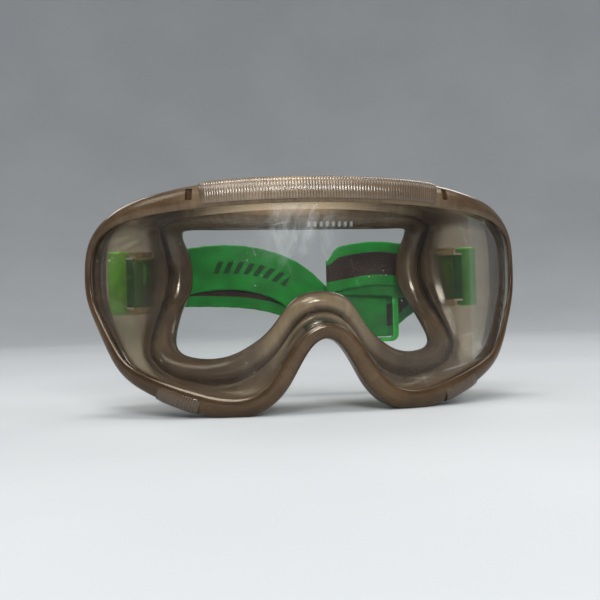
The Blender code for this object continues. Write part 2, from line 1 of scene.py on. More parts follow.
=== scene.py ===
"""Looks of the wide-vision safety goggles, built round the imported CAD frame.

The goggles stand on the floor with the lens to the front and the headband folded behind.
Shapes are worked out in millimetres: X across (right is +X), Y back, Z up, zero at the
middle of the lens curve. `placed` turns them into metres, set by the boxes of the CAD nodes.
"""
import math

import bmesh
import bpy
import numpy as np
from mathutils import Matrix, Vector
from mathutils.geometry import delaunay_2d_cdt
from mathutils.kdtree import KDTree


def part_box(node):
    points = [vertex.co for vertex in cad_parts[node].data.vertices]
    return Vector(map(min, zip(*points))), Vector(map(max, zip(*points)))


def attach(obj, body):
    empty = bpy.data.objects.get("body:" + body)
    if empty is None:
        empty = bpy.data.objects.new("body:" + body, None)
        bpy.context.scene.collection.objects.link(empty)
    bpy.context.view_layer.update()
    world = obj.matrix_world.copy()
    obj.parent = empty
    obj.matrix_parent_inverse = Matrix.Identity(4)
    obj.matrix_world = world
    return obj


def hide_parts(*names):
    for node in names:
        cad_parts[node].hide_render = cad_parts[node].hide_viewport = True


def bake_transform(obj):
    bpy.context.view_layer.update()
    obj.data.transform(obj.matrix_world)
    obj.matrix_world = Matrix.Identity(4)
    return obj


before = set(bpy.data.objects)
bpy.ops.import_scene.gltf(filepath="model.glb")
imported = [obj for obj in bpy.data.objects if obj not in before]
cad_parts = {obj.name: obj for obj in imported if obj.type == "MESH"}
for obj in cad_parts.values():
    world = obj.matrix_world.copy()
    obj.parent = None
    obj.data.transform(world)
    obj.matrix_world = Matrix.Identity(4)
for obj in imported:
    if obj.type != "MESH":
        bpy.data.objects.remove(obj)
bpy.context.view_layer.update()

MM = 0.001

# ---- sizes, mm -------------------------------------------------------------------
WRAP_X, WRAP_Y = 95.0, 48.0                   # half axes of the lens ellipse in plan
LENS_T, LENS_GAP, LENS_TUCK = 1.8, 0.3, 2.6   # thickness, play in the groove, hidden edge
WALL, SEAL_CREST = 1.9, 2.8
STATIONS = 480                                # sections round the frame

PIN = (77.0, 52.0, 9.5)                       # middle of the right clip's rod
PIN_R, CLIP_R, CLIP_IN_R, CLIP_H, CLIP_CAP = 1.4, 4.4, 3.4, 26.4, 2.3
SWEEP = math.radians(33.0)                    # turn of clips and brackets in plan
BRACKET_H, BRACKET_T = 26.6, 1.6

STRAP_W, STRAP_T = 20.0, 1.3
PLY = 1.7                                     # pitch of two band layers
LOOP_R = (PIN_R + CLIP_IN_R) / 2              # band's middle line round the rod
STEP = 0.9                                    # spacing along the band
FOLD_X, FOLD_Y, FOLD_R = 60.0, 68.9, 2.9
TURN_X, TURN_R = 16.0, 1.05

SLIDER_X, SLIDER_Z, SLIDER_W, SLIDER_H = 37.5, -7.0, 23.0, 24.4
PLY_FRONT_Y = 70.1                            # front band layer inside the slider
PLY_REAR_Y = PLY_FRONT_Y + PLY

lens_low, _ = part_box("lens")
clip_low, clip_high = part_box("strap_clip_right")
DEPTH_CENTRE = LENS_GAP - lens_low.y / MM
GROUND = (clip_low.z + clip_high.z) / 2 / MM - PIN[2]     # height of the zero over the floor

# Right half of the rim, top middle to nose: x, z, width of the rim, depth of its band.
OUTLINE = [
    (0.0, 46.9, 9.6, 10.0), (17.0, 46.7, 9.6, 10.0), (34.0, 46.1, 9.6, 10.0),
    (48.0, 44.9, 9.2, 10.0), (61.0, 42.6, 8.2, 10.0), (74.0, 38.9, 6.8, 9.5),
    (83.5, 32.6, 5.4, 9.0), (88.6, 24.0, 4.7, 9.0), (90.0, 13.0, 4.5, 9.0),
    (89.3, 2.0, 4.5, 9.0), (86.2, -8.0, 4.7, 9.0), (82.0, -18.5, 5.2, 9.0),
    (76.5, -27.5, 6.0, 9.0), (67.0, -34.3, 7.0, 9.0), (56.0, -39.2, 7.6, 9.0),
    (45.0, -42.7, 7.8, 9.0), (35.0, -43.9, 7.8, 9.0), (27.0, -42.3, 7.6, 8.5),
    (21.0, -38.9, 7.2, 8.0), (16.0, -33.8, 6.8, 7.4), (12.3, -28.0, 6.5, 7.0),
    (9.0, -22.4, 6.3, 6.6), (5.0, -17.2, 6.2, 6.4), (0.0, -14.8, 6.2, 6.4),
]
# Inner and outer edge of the face seal, same half and order: x, y, z.
SEAL_IN = [
    (0.0, 32.0, 29.5), (14.0, 33.2, 29.8), (27.0, 37.5, 30.2), (37.0, 44.0, 31.0),
    (44.5, 51.0, 31.9), (49.0, 56.0, 31.4), (49.3, 58.6, 27.6), (46.9, 59.5, 21.5),
    (45.8, 59.5, 13.0), (46.8, 58.6, 5.0), (50.0, 55.6, -1.5), (52.8, 50.6, -9.0),
    (54.2, 44.0, -16.2), (51.5, 38.0, -20.6), (45.0, 32.6, -22.2), (38.5, 28.4, -22.0),
    (32.5, 24.8, -20.3), (27.0, 21.3, -17.2), (21.4, 18.2, -13.0), (16.6, 15.9, -7.5),
    (12.6, 14.0, -1.6), (8.7, 12.7, 1.8), (4.4, 12.0, 3.3), (0.0, 11.8, 3.7),
]
SEAL_OUT = [
    (0.0, 29.5, 40.5), (17.0, 31.0, 40.6), (33.0, 35.8, 40.4), (45.5, 42.6, 39.8),
    (54.5, 48.6, 38.4), (60.6, 53.0, 35.2), (61.2, 55.4, 30.0), (58.8, 56.5, 23.0),
    (57.4, 56.5, 13.0), (59.4, 55.2, 3.2), (63.4, 51.8, -6.0), (66.2, 46.4, -14.2),
    (66.0, 40.4, -22.0), (60.6, 34.8, -28.2), (52.2, 29.8, -31.8), (43.2, 25.4, -33.2),
    (34.4, 21.6, -32.6), (26.4, 17.8, -29.2), (20.2, 14.6, -24.2), (15.5, 12.2, -18.6),
    (11.5, 10.7, -12.7), (8.2, 9.8, -8.7), (4.3, 9.3, -6.4), (0.0, 9.1, -5.7),
]


# ---- curves -------------------------------------------------------------------------
def unit(vectors):
    return vectors / np.linalg.norm(vectors, axis=1)[:, None]


def travelled(points):
    """Distance gone along each run of points, from zero."""
    gaps = np.linalg.norm(np.diff(points, axis=-2), axis=-1)
    return np.concatenate([np.zeros(gaps.shape[:-1] + (1,)), np.cumsum(gaps, axis=-1)], -1)


def nearest(values, target, allowed):
    """Index of the allowed value nearest to the target."""
    return int(np.argmin(np.where(allowed, np.abs(values - target), 1e9)))


def smooth(value, start, end):
    share = np.clip((value - start) / (end - start), 0, 1)
    return share * share * (3 - 2 * share)


def closed_spline(points):
    """Knots of a closed cubic and its slopes there."""
    knots = np.asarray(points, float)
    one = np.eye(len(knots))
    system = 4.0 * one + np.roll(one, 1, 0) + np.roll(one, -1, 0)
    return knots, np.linalg.solve(system, 3.0 * (np.roll(knots, -1, 0) - np.roll(knots, 1, 0)))


def on_closed(curve, param):
    knots, slope = curve
    i = np.floor(param).astype(int)
    f = (param - i)[:, None]
    a, b = i % len(knots), (i + 1) % len(knots)
    return (
        (2 * f**3 - 3 * f**2 + 1) * knots[a] + (f**3 - 2 * f**2 + f) * slope[a]
        + (-2 * f**3 + 3 * f**2) * knots[b] + (f**3 - f**2) * slope[b]
    )


def open_spline(points):
    """Natural cubic through the points, its knots spaced by root chord, at about STEP."""
    points = np.asarray(points, float)
    chord = np.linalg.norm(np.diff(points, axis=0), axis=1)
    gap = np.sqrt(chord)
    system, jump = np.eye(len(points)), np.zeros_like(points)
    for i in range(1, len(points) - 1):
        system[i, i - 1:i + 2] = gap[i - 1], 2 * (gap[i - 1] + gap[i]), gap[i]
        ahead = (points[i + 1] - points[i]) / gap[i]
        jump[i] = 6 * (ahead - (points[i] - points[i - 1]) / gap[i - 1])
    bend = np.linalg.solve(system, jump)
    out = []
    for i, h in enumerate(gap):
        count = max(1, int(round(chord[i] / STEP)))
        share = (np.arange(count) / count)[:, None]
        a, b = (1 - share) * h, share * h
        out.append(
            bend[i] * a**3 / (6 * h) + bend[i + 1] * b**3 / (6 * h)
            + (points[i] / h - bend[i] * h / 6) * a
            + (points[i + 1] / h - bend[i + 1] * h / 6) * b
        )
    return np.concatenate(out + [points[-1:]])


def mirrored(half):
    return half + [(-row[0],) + row[1:] for row in half[-2:0:-1]]


def plan_y(x):
    return WRAP_Y * (1.0 - np.sqrt(1.0 - (x / WRAP_X) ** 2))


# Arc length along the lens ellipse, tabled against x.
ARC_X = np.linspace(0.0, 94.0, 3000)
ARC_S = np.concatenate([[0.0], np.cumsum(np.hypot(np.diff(ARC_X), np.diff(plan_y(ARC_X))))])


def arc_of(x):
    return np.sign(x) * np.interp(np.abs(x), ARC_X, ARC_S)


def wrapped(arc, z, out):
    """Point at an arc length and height, `out` mm in front of the lens curve."""
    x = np.sign(arc) * np.interp(np.abs(arc), ARC_S, ARC_X)
    root = np.sqrt(1.0 - (x / WRAP_X) ** 2)
    slope = np.sign(x) * WRAP_Y * np.abs(x) / (WRAP_X**2 * root)
    length = np.hypot(1.0, slope)
    return np.stack([x + out * slope / length, plan_y(x) - out / length, z + 0.0 * x], -1)


RIM = closed_spline([(arc_of(x), z, width, band) for x, z, width, band in mirrored(OUTLINE)])
KNOTS = len(RIM[0])


def even_stations(count):
    """Rim parameters of evenly spaced stations, and the rim's length."""
    param = np.linspace(0.0, KNOTS, 8001)
    gone = travelled(on_closed(RIM, param)[:, :2])
    return np.interp(np.arange(count) / count * gone[-1], gone, param), gone[-1]


def rim_frame(param):
    """Flat rim points (arc, z), inward directions, rim widths and band depths."""
    here_now = on_closed(RIM, param)
    tangent = unit((on_closed(RIM, param + 0.02) - on_closed(RIM, param - 0.02))[:, :2])
    inward = np.stack([tangent[:, 1], -tangent[:, 0]], -1)
    return here_now[:, :2], inward, here_now[:, 2], here_now[:, 3]


def rim_point(param, inset, out):
    flat, inward, _, _ = rim_frame(param)
    at = flat + inward * np.broadcast_to(inset, param.shape)[:, None]
    return wrapped(at[:, 0], at[:, 1], np.broadcast_to(out, param.shape))


def placed(points):
    return (np.asarray(points, float) + (0.0, -DEPTH_CENTRE, GROUND)) * MM


# ---- meshes -------------------------------------------------------------------------
def write_attribute(mesh, name, values):
    values = np.asarray(values, np.float32)
    kind, field = ("FLOAT", "value") if values.ndim == 1 else ("FLOAT_VECTOR", "vector")
    mesh.attributes.new(name, kind, "POINT").data.foreach_set(field, values.ravel())


def read_attribute(mesh, name):
    attribute = mesh.attributes[name]
    single = attribute.data_type == "FLOAT"
    values = np.zeros(len(mesh.vertices) * (1 if single else 3), np.float32)
    attribute.data.foreach_get("value" if single else "vector", values)
    return values if single else values.reshape(-1, 3)


def finish_shading(mesh, sharp):
    mesh.shade_smooth()
    if sharp:
        mesh.set_sharp_from_angle(angle=math.radians(sharp))


def mesh_object(name, points, faces, material, attributes=None, sharp=None):
    """An object from points in metres. attributes: name to values by vertex."""
    mesh = bpy.data.meshes.new(name)
    mesh.from_pydata(points.tolist(), [], [tuple(int(i) for i in face) for face in faces])
    for key, values in (attributes or {}).items():
        write_attribute(mesh, key, values)
    edit = bmesh.new()
    edit.from_mesh(mesh)
    bmesh.ops.recalc_face_normals(edit, faces=edit.faces)
    edit.to_mesh(mesh)
    edit.free()
    mesh.materials.append(material)
    finish_shading(mesh, sharp)
    made = bpy.data.objects.new(name, mesh)
    bpy.context.scene.collection.objects.link(made)
    return made


def piece(name, points, faces, material, attributes=None, sharp=None):
    """An object from points in the model's own millimetres."""
    return mesh_object(name, placed(points), faces, material, attributes, sharp)


def ring_sweep(rows, closed):
    """Skin over rows of ring points: joined end to end, or capped at both ends."""
    rows = np.asarray(rows, float)
    count, wide = rows.shape[:2]
    i = np.arange(count if closed else count - 1)[:, None]
    k = np.arange(wide)[None, :]
    j, m = (i + 1) % count, (k + 1) % wide
    corners = [i * wide + k, i * wide + m, j * wide + m, j * wide + k]
    faces = np.stack(corners, -1).reshape(-1, 4).tolist()
    if not closed:
        faces.append(list(range(wide))[::-1])
        faces.append([(count - 1) * wide + k for k in range(wide)])
    return rows.reshape(-1, rows.shape[-1]), faces


def rounded_section(controls):
    """Uniform cubic B-spline, two steps per control; (rows, stations) to (stations, rows)."""
    count = len(controls)
    out = []
    for i in range(count):
        a, b, c, d = (controls[(i + k) % count] for k in (-1, 0, 1, 2))
        for f in (0.0, 0.5):
            out.append(
                (a * (1 - f) ** 3 + b * (3 * f**3 - 6 * f**2 + 4)
                 + c * (-3 * f**3 + 3 * f**2 + 3 * f + 1) + d * f**3) / 6
            )
    return np.stack(out, 0).transpose(1, 0, 2)


def flow_of(swept, along):
    """Texture coordinates of a sweep: mm along it and mm round its section."""
    flow = np.zeros(swept.shape[:2] + (3,))
    flow[:, :, 0] = along[:, None]
    flow[:, :, 1] = travelled(swept[:, :, :3])
    return flow.reshape(-1, 3)


def circle(radius, count):
    turns = [2 * math.pi * i / count for i in range(count)]
    return [(radius * math.cos(a), radius * math.sin(a)) for a in turns]


def rounded_box(wide, tall, radius, count):
    out = []
    for i, (x, y) in enumerate(((1, 1), (-1, 1), (-1, -1), (1, -1))):
        for a in (math.radians(90 * i + 90 * step / count) for step in range(count + 1)):
            out.append((x * (wide / 2 - radius) + radius * math.cos(a),
                        y * (tall / 2 - radius) + radius * math.sin(a)))
    return out


def prism(section, low, high, lift):
    """Prism whose points are lift(section point, level)."""
    n = len(section)
    points = [lift(p, low) for p in section] + [lift(p, high) for p in section]
    faces = [tuple(range(n))[::-1], tuple(range(n, 2 * n))]
    faces += [(i, (i + 1) % n, n + (i + 1) % n, n + i) for i in range(n)]
    return points, faces


def settle(obj, sharp):
    """Puts the modifiers' result into the mesh."""
    graph = bpy.context.evaluated_depsgraph_get()
    mesh = bpy.data.meshes.new_from_object(obj.evaluated_get(graph))
    obj.modifiers.clear()
    old = obj.data
    obj.data = mesh
    bpy.data.meshes.remove(old)
    finish_shading(mesh, sharp)


def combine(obj, others, operation, sharp=40, carry=()):
    """Boolean of obj with the others; carried attributes come from the nearest old point."""
    carried = {key: read_attribute(obj.data, key) for key in carry}
    tree_of_points = KDTree(len(obj.data.vertices))
    for vertex in obj.data.vertices:
        tree_of_points.insert(vertex.co, vertex.index)
    tree_of_points.balance()
    for other in others:
        step = obj.modifiers.new("cut", "BOOLEAN")
        step.operation, step.solver, step.object = operation, "EXACT", other
    settle(obj, sharp)
    for other in others:
        bpy.data.objects.remove(other, do_unlink=True)
    if carried:
        near = np.array([tree_of_points.find(v.co)[1] for v in obj.data.vertices])
    for key, values in carried.items():
        stale = obj.data.attributes.get(key)
        if stale is not None:
            obj.data.attributes.remove(stale)
        write_attribute(obj.data, key, values[near])


def bevel(obj, width, segments, angle, sharp):
    step = obj.modifiers.new("round", "BEVEL")
    step.width, step.segments, step.limit_method = width * MM, segments, "ANGLE"
    step.angle_limit = math.radians(angle)
    step.use_clamp_overlap = True
    settle(obj, sharp)


def register(obj, node_name, body="frame"):
    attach(obj, body)
    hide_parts(node_name)


# ---- shader shorthand ---------------------------------------------------------------
tree = None      # node tree of the material being made


class Wire:
    """A node's output; arithmetic on it adds Math nodes."""

    def __init__(self, socket):
        self.socket = socket

    def __add__(self, other):
        return maths("ADD", self, other)

    def __sub__(self, other):
        return maths("SUBTRACT", self, other)

    def __rsub__(self, other):
        return maths("SUBTRACT", other, self)

    def __mul__(self, other):
        return maths("MULTIPLY", self, other)

    def __truediv__(self, other):
        return maths("DIVIDE", self, other)

    def __abs__(self):
        return maths("ABSOLUTE", self)


def node(kind, inputs=None, output=0, **props):
    made = tree.nodes.new(kind)
    for key, value in props.items():
        setattr(made, key, value)
    for key, value in (inputs or {}).items():
        socket = made.inputs[key]
        if isinstance(value, Wire):
            tree.links.new(value.socket, socket)
        elif isinstance(value, tuple) and socket.type == "RGBA" and len(value) == 3:
            socket.default_value = (*value, 1.0)
        else:
            socket.default_value = value
    return Wire(made.outputs[output])


def maths(operation, a, b=0.0, clamp=False):
    return node("ShaderNodeMath", {0: a, 1: b, 2: 0.0}, operation=operation, use_clamp=clamp)


def attr(name, output="Fac"):
    return node(
        "ShaderNodeAttribute", output=output, attribute_name=name, attribute_type="GEOMETRY"
    )


def here():
    return node("ShaderNodeTexCoord", output="Object")


def pointiness():
    return node("ShaderNodeNewGeometry", output="Pointiness")


def span(value, over, to=(0.0, 1.0)):
    """Eased map of the value, from the range `over` to the range `to`."""
    inputs = {0: value, 1: over[0], 2: over[1], 3: to[0], 4: to[1]}
    return node("ShaderNodeMapRange", inputs, interpolation_type="SMOOTHSTEP")


def noise(at, scale=1.0, detail=3.0, rough=0.55, warp=0.0):
    return node("ShaderNodeTexNoise", {
        "Vector": at, "Scale": scale, "Detail": detail, "Roughness": rough, "Distortion": warp,
    }, output="Fac")


def dots(at, scale):
    inputs = {"Vector": at, "Scale": scale, "Randomness": 1.0}
    return node("ShaderNodeTexVoronoi", inputs, output="Distance")


def stretch(vector, by):
    return node("ShaderNodeVectorMath", {0: vector, 1: by}, operation="MULTIPLY")


def split(vector):
    outputs = node("ShaderNodeSeparateXYZ", {0: vector}).socket.node.outputs
    return [Wire(outputs[i]) for i in range(3)]


def join(x, y, z=0.0):
    return node("ShaderNodeCombineXYZ", {0: x, 1: y, 2: z})


def mix(factor, first, second):
    inputs = {0: factor, 6: first, 7: second}
    return node("ShaderNodeMix", inputs, output=2, data_type="RGBA", clamp_factor=True)


def bump(height, strength, depth, under=None):
    inputs = {"Height": height, "Strength": strength, "Distance": depth}
    if under is not None:
        inputs["Normal"] = under
    return node("ShaderNodeBump", inputs)


def solid(**inputs):
    return node("ShaderNodeBsdfPrincipled", {k.replace("_", " "): v for k, v in inputs.items()})


def clear(colour):
    return node("ShaderNodeBsdfTransparent", {"Color": colour})


def glossy(rough, normal):
    inputs = {"Color": (1, 1, 1, 1), "Roughness": rough, "Normal": normal}
    return node("ShaderNodeBsdfGlossy", inputs)


def fresnel(ior, normal):
    return node("ShaderNodeFresnel", {"IOR": ior, "Normal": normal})


def blend(factor, first, second):
    return node("ShaderNodeMixShader", {0: factor, 1: first, 2: second})


def make_material(name, recipe, *settings):
    """A material whose surface is the shader returned by recipe(*settings)."""
    global tree
    material = bpy.data.materials.new(name)
    material.use_nodes = True
    tree = material.node_tree
    tree.nodes.clear()
    output = tree.nodes.new("ShaderNodeOutputMaterial")
    tree.links.new(recipe(*settings).socket, output.inputs["Surface"])
    return material


# ---- materials ----------------------------------------------------------------------
def smoky_pvc():
    """Soft smoky PVC: see-through in its thin walls, darker where it rolls, streaked; its tone
    attribute paints light on it.
    """
    at = here()
    along, around, _ = split(attr("flow", "Vector"))
    # tone is painted light, given row by row in frame_sections
    opacity, tone, fine = attr("opac"), attr("tone"), attr("fine")
    streak = noise(join(along * 1.9, around * 0.07), detail=4.0, rough=0.7)
    wide = noise(join(along * 0.34, around * 0.04, 4.0), rough=0.6)
    flow = noise(join(along * 0.03, around * 0.5, 9.0), detail=2.0, rough=0.5)
    cloud = noise(at, scale=55.0, detail=5.0, rough=0.6, warp=0.6)
    grain = noise(at, scale=1400.0, detail=2.0, rough=0.5)
    dents = noise(at, scale=210.0, rough=0.5)

    # smoky brown; tone is painted light: it mixes in a lit tan, and above 1 a paler painted
    # glowing colour
    base = mix(span(cloud, over=(0.3, 0.72)), (0.024, 0.0118, 0.0048), (0.064, 0.0350, 0.0155))
    base = mix(span(flow, over=(0.45, 0.8), to=(0.0, 0.45)), base, (0.105, 0.060, 0.026))
    base = mix(span(streak, over=(0.56, 0.74)) * (fine * 0.55), base, (0.20, 0.165, 0.125))
    lit_tan = mix(span(wide, over=(0.15, 0.85)), (0.190, 0.130, 0.076), (0.310, 0.228, 0.145))
    base = mix(tone * span(cloud, over=(0.2, 0.8), to=(0.8, 1.0)), base, lit_tan)
    base = mix(maths("SUBTRACT", tone, 1.0, clamp=True), base, (0.80, 0.62, 0.42))
    dust = span(dots(at, scale=620.0), over=(0.10, 0.04))
    dust = dust * span(noise(at, scale=45.0), over=(0.55, 0.72))
    base = mix(dust * 0.6, base, (0.42, 0.38, 0.32))

    rough = span(cloud, over=(0.3, 0.75), to=(0.12, 0.22))
    rough = rough + span(grain, over=(0.35, 0.75)) * 0.06 + streak * fine * 0.16
    bent = bump(streak * fine, strength=0.30, depth=0.00016)
    bent = bump(dents, strength=0.03, depth=0.0004, under=bent)
    bent = bump(grain, strength=0.07, depth=0.00008, under=bent)
    body = solid(
        Base_Color=base, Roughness=rough, IOR=1.50, Specular_IOR_Level=0.5,
        Specular_Tint=(1.0, 0.86, 0.70), Coat_Weight=0.18, Coat_Roughness=0.09, Normal=bent,
        # painted glowing light: emission where tone is above 1, though the PVC is no lamp
        Emission_Color=(0.80, 0.58, 0.36),
        Emission_Strength=maths("SUBTRACT", tone, 1.0, clamp=True) * 0.26,
    )

    tint = mix(span(opacity, over=(0.12, 0.55)), (0.82, 0.73, 0.60), (0.58, 0.46, 0.33))
    see_through = clear(tint)
    edge = node("ShaderNodeLayerWeight", {"Blend": 0.35}, output="Facing")
    keep = opacity + edge * (1.0 - opacity) * 0.10
    keep = maths("ADD", keep, span(cloud, over=(0.35, 0.8), to=(-0.03, 0.06)), clamp=True)
    shine = glossy(rough=0.12, normal=bent)
    skin = fresnel(ior=1.42, normal=bent) * ((1.0 - keep) * 0.35)
    return blend(skin, blend(keep, see_through, body), shine)


def vent_pvc():
    """The rib strips: the same PVC, more matt on the crowns of the ribs; painted light brightens
    the middle of the brow strip, leaves its ends and the lower strips darker, and paints the rib
    crowns paler as highlights where it is lit.
    """
    at = here()
    crown = attr("crown")
    along, around, _ = split(attr("flow", "Vector"))
    cloud = noise(at, scale=70.0, detail=4.0, rough=0.6)
    streak = noise(join(along * 1.3, around * 0.12), rough=0.6)
    grain = noise(at, scale=1500.0, detail=2.0)
    base = mix(span(cloud, over=(0.3, 0.7)), (0.105, 0.070, 0.040), (0.200, 0.145, 0.092))
    # painted light: the lit share brightens the brow strip's middle; its ends and the lower strips
    # stay darker
    base = mix(attr("painted_light_share"), (0.055, 0.036, 0.021), base)
    # painted highlight on the rib crowns, only where the painted light is
    painted_highlight = crown * attr("painted_light_share") * span(streak, over=(0.3, 0.7), to=(0.15, 0.5))
    base = mix(painted_highlight, base, (0.40, 0.33, 0.25))
    streak_bump = bump(streak, strength=0.2, depth=0.0002)
    body = solid(
        Base_Color=base, IOR=1.5, Specular_IOR_Level=0.6, Coat_Weight=0.25, Coat_Roughness=0.12,
        Roughness=span(grain, over=(0.3, 0.8), to=(0.14, 0.22)) + crown * 0.05,
        Normal=bump(grain, strength=0.12, depth=0.00008, under=streak_bump),
    )
    keep = span(cloud, over=(0.3, 0.8), to=(0.84, 0.94))
    return blend(keep, clear((0.66, 0.56, 0.44)), body)


def lens_look():
    """Clear lens: faint haze, a whitish cloudy patch, hairline scratches and dried specks."""
    at = here()
    x, _, z = split(at)
    veil = span(noise(at, scale=26.0, detail=4.0, rough=0.6), over=(0.4, 0.75), to=(0.003, 0.018))
    wisps = noise(stretch(at, (1.0, 0.4, 0.7)), scale=62.0, detail=6.0, rough=0.62, warp=1.4)
    spot = node("ShaderNodeVectorMath", {
        0: stretch(at, (1.0, 0.0, 0.75)), 1: (-0.010, 0.0, 0.0575),
    }, output="Value", operation="DISTANCE")
    # a whitish cloudy patch low in the middle of the lens, rougher there too
    cloudy_patch = span(spot, over=(0.022, 0.003)) * span(wisps, over=(0.42, 0.66))

    # two families of hairlines, steep and nearly level
    steep = noise(join((x + z * 0.35) * 420.0, z * 26.0), rough=0.6)
    level = noise(join((z - x * 0.22) * 520.0, x * 22.0, 7.0), rough=0.6)
    patchy = span(noise(at, scale=30.0, detail=2.0, rough=0.5), over=(0.46, 0.64))
    hair = (span(steep, over=(0.672, 0.70)) + span(level, over=(0.682, 0.71))) * patchy
    specks = span(dots(at, scale=330.0), over=(0.12, 0.05))
    specks = specks * span(noise(at, scale=52.0), over=(0.55, 0.66))

    # a row of short moulded ticks near the top
    tick = span(abs(maths("FRACT", x * 420.0) - 0.5), over=(0.24, 0.17))
    tick = tick * span(abs(z - 0.0722), over=(0.00115, 0.0008))
    tick = tick * span(abs(x - 0.0030), over=(0.0097, 0.0092))

    haze = veil + cloudy_patch * 0.13 + hair * 0.09 + specks * 0.35 + tick * 0.12
    haze = maths("ADD", haze, attr("edge") * 0.35, clamp=True)
    rough = maths("ADD", 0.035, (cloudy_patch + hair) * 0.25, clamp=True)
    bent = bump(noise(at, scale=38.0, detail=1.0), strength=0.05, depth=0.0006)
    bent = bump(hair, strength=0.25, depth=0.00005, under=bent)
    film = solid(Base_Color=(0.74, 0.77, 0.78), Roughness=0.42, Normal=bent)
    glazed = blend(haze, clear((0.955, 0.965, 0.96)), film)
    return blend(fresnel(ior=1.36, normal=bent) * 0.26, glazed, glossy(rough, bent))


def bracket_look():
    """Hard clear plastic with a smoky cast, with painted highlights at its corners and painted
    green where the band shows through it.
    """
    at = here()
    _, _, z = split(at)
    cloud = noise(at, scale=130.0, detail=4.0, rough=0.6)
    fine = noise(stretch(at, (1.0, 1.0, 0.12)), scale=900.0, detail=2.0)
    plate = span(abs(z - (PIN[2] + GROUND) * MM), over=(0.0102, 0.0092))
    seams = noise(stretch(at, (1.0, 1.0, 0.06)), scale=420.0, detail=2.0)
    green = mix(span(seams, over=(0.42, 0.62)), (0.030, 0.260, 0.020), (0.085, 0.460, 0.045))
    base = mix(span(cloud, over=(0.35, 0.7)), (0.22, 0.17, 0.08), (0.36, 0.29, 0.16))
    # painted green where the band lies behind the plate
    base = mix(plate, base, green)
    # painted highlight: paler and less see-through on its corners and edges
    painted_highlight = span(pointiness(), over=(0.52, 0.60)) * (1.0 - plate)
    base = mix(painted_highlight * 0.6, base, (0.62, 0.56, 0.36))
    bent = bump(cloud, strength=0.12, depth=0.0004)
    bent = bump(fine, strength=0.16, depth=0.0001, under=bent)
    body = solid(
        Base_Color=base, Roughness=span(cloud, over=(0.3, 0.8), to=(0.06, 0.2)),
        Specular_IOR_Level=0.7, Coat_Weight=0.5, Coat_Roughness=0.05, Normal=bent,
    )
    keep = span(cloud, over=(0.3, 0.8), to=(0.06, 0.16))
    keep = maths("ADD", keep, painted_highlight * 0.35, clamp=True)
    keep = maths("ADD", keep, plate * 0.45, clamp=True)
    inside = blend(keep, clear((0.82, 0.77, 0.58)), body)
    return blend(fresnel(ior=1.5, normal=bent) * 0.9, inside, glossy(0.07, bent))


def green_plastic(dark, light):
    """Glossy moulded green, with flow marks, fine scratches and edges painted paler in patches as
    highlights.
    """
    def paler(gain, lift):
        return tuple(min(1.0, channel * gain + lift) for channel in light)

    at = here()
    cloud = noise(at, scale=150.0, detail=4.0, rough=0.6, warp=0.5)
    flow = noise(stretch(at, (1.0, 1.0, 0.2)), scale=420.0)
    grain = noise(at, scale=2200.0, detail=2.0)
    scratch = noise(stretch(at, (0.25, 0.3, 1.0)), scale=2600.0, rough=0.7)
    hair = span(scratch, over=(0.66, 0.72))
    # painted highlight: paler on sharp edges, in patches
    painted_highlight = span(pointiness(), over=(0.515, 0.60)) * span(cloud, over=(0.35, 0.6))
    base = mix(span(cloud, over=(0.3, 0.72)), dark, light)
    base = mix(span(flow, over=(0.5, 0.8), to=(0.0, 0.3)), base, paler(gain=1.5, lift=0.01))
    base = mix(painted_highlight * 0.55, base, paler(gain=1.7, lift=0.06))
    base = mix(hair * 0.25, base, paler(gain=1.6, lift=0.04))
    bent = bump(cloud, strength=0.15, depth=0.0004)
    bent = bump(hair, strength=0.15, depth=0.00005, under=bent)
    return solid(
        Base_Color=base, Roughness=span(cloud, over=(0.3, 0.8), to=(0.16, 0.30)) + hair * 0.15,
        IOR=1.5, Specular_IOR_Level=0.6, Coat_Weight=0.45, Coat_Roughness=0.10,
        Normal=bump(grain, strength=0.08, depth=0.00008, under=bent),
    )


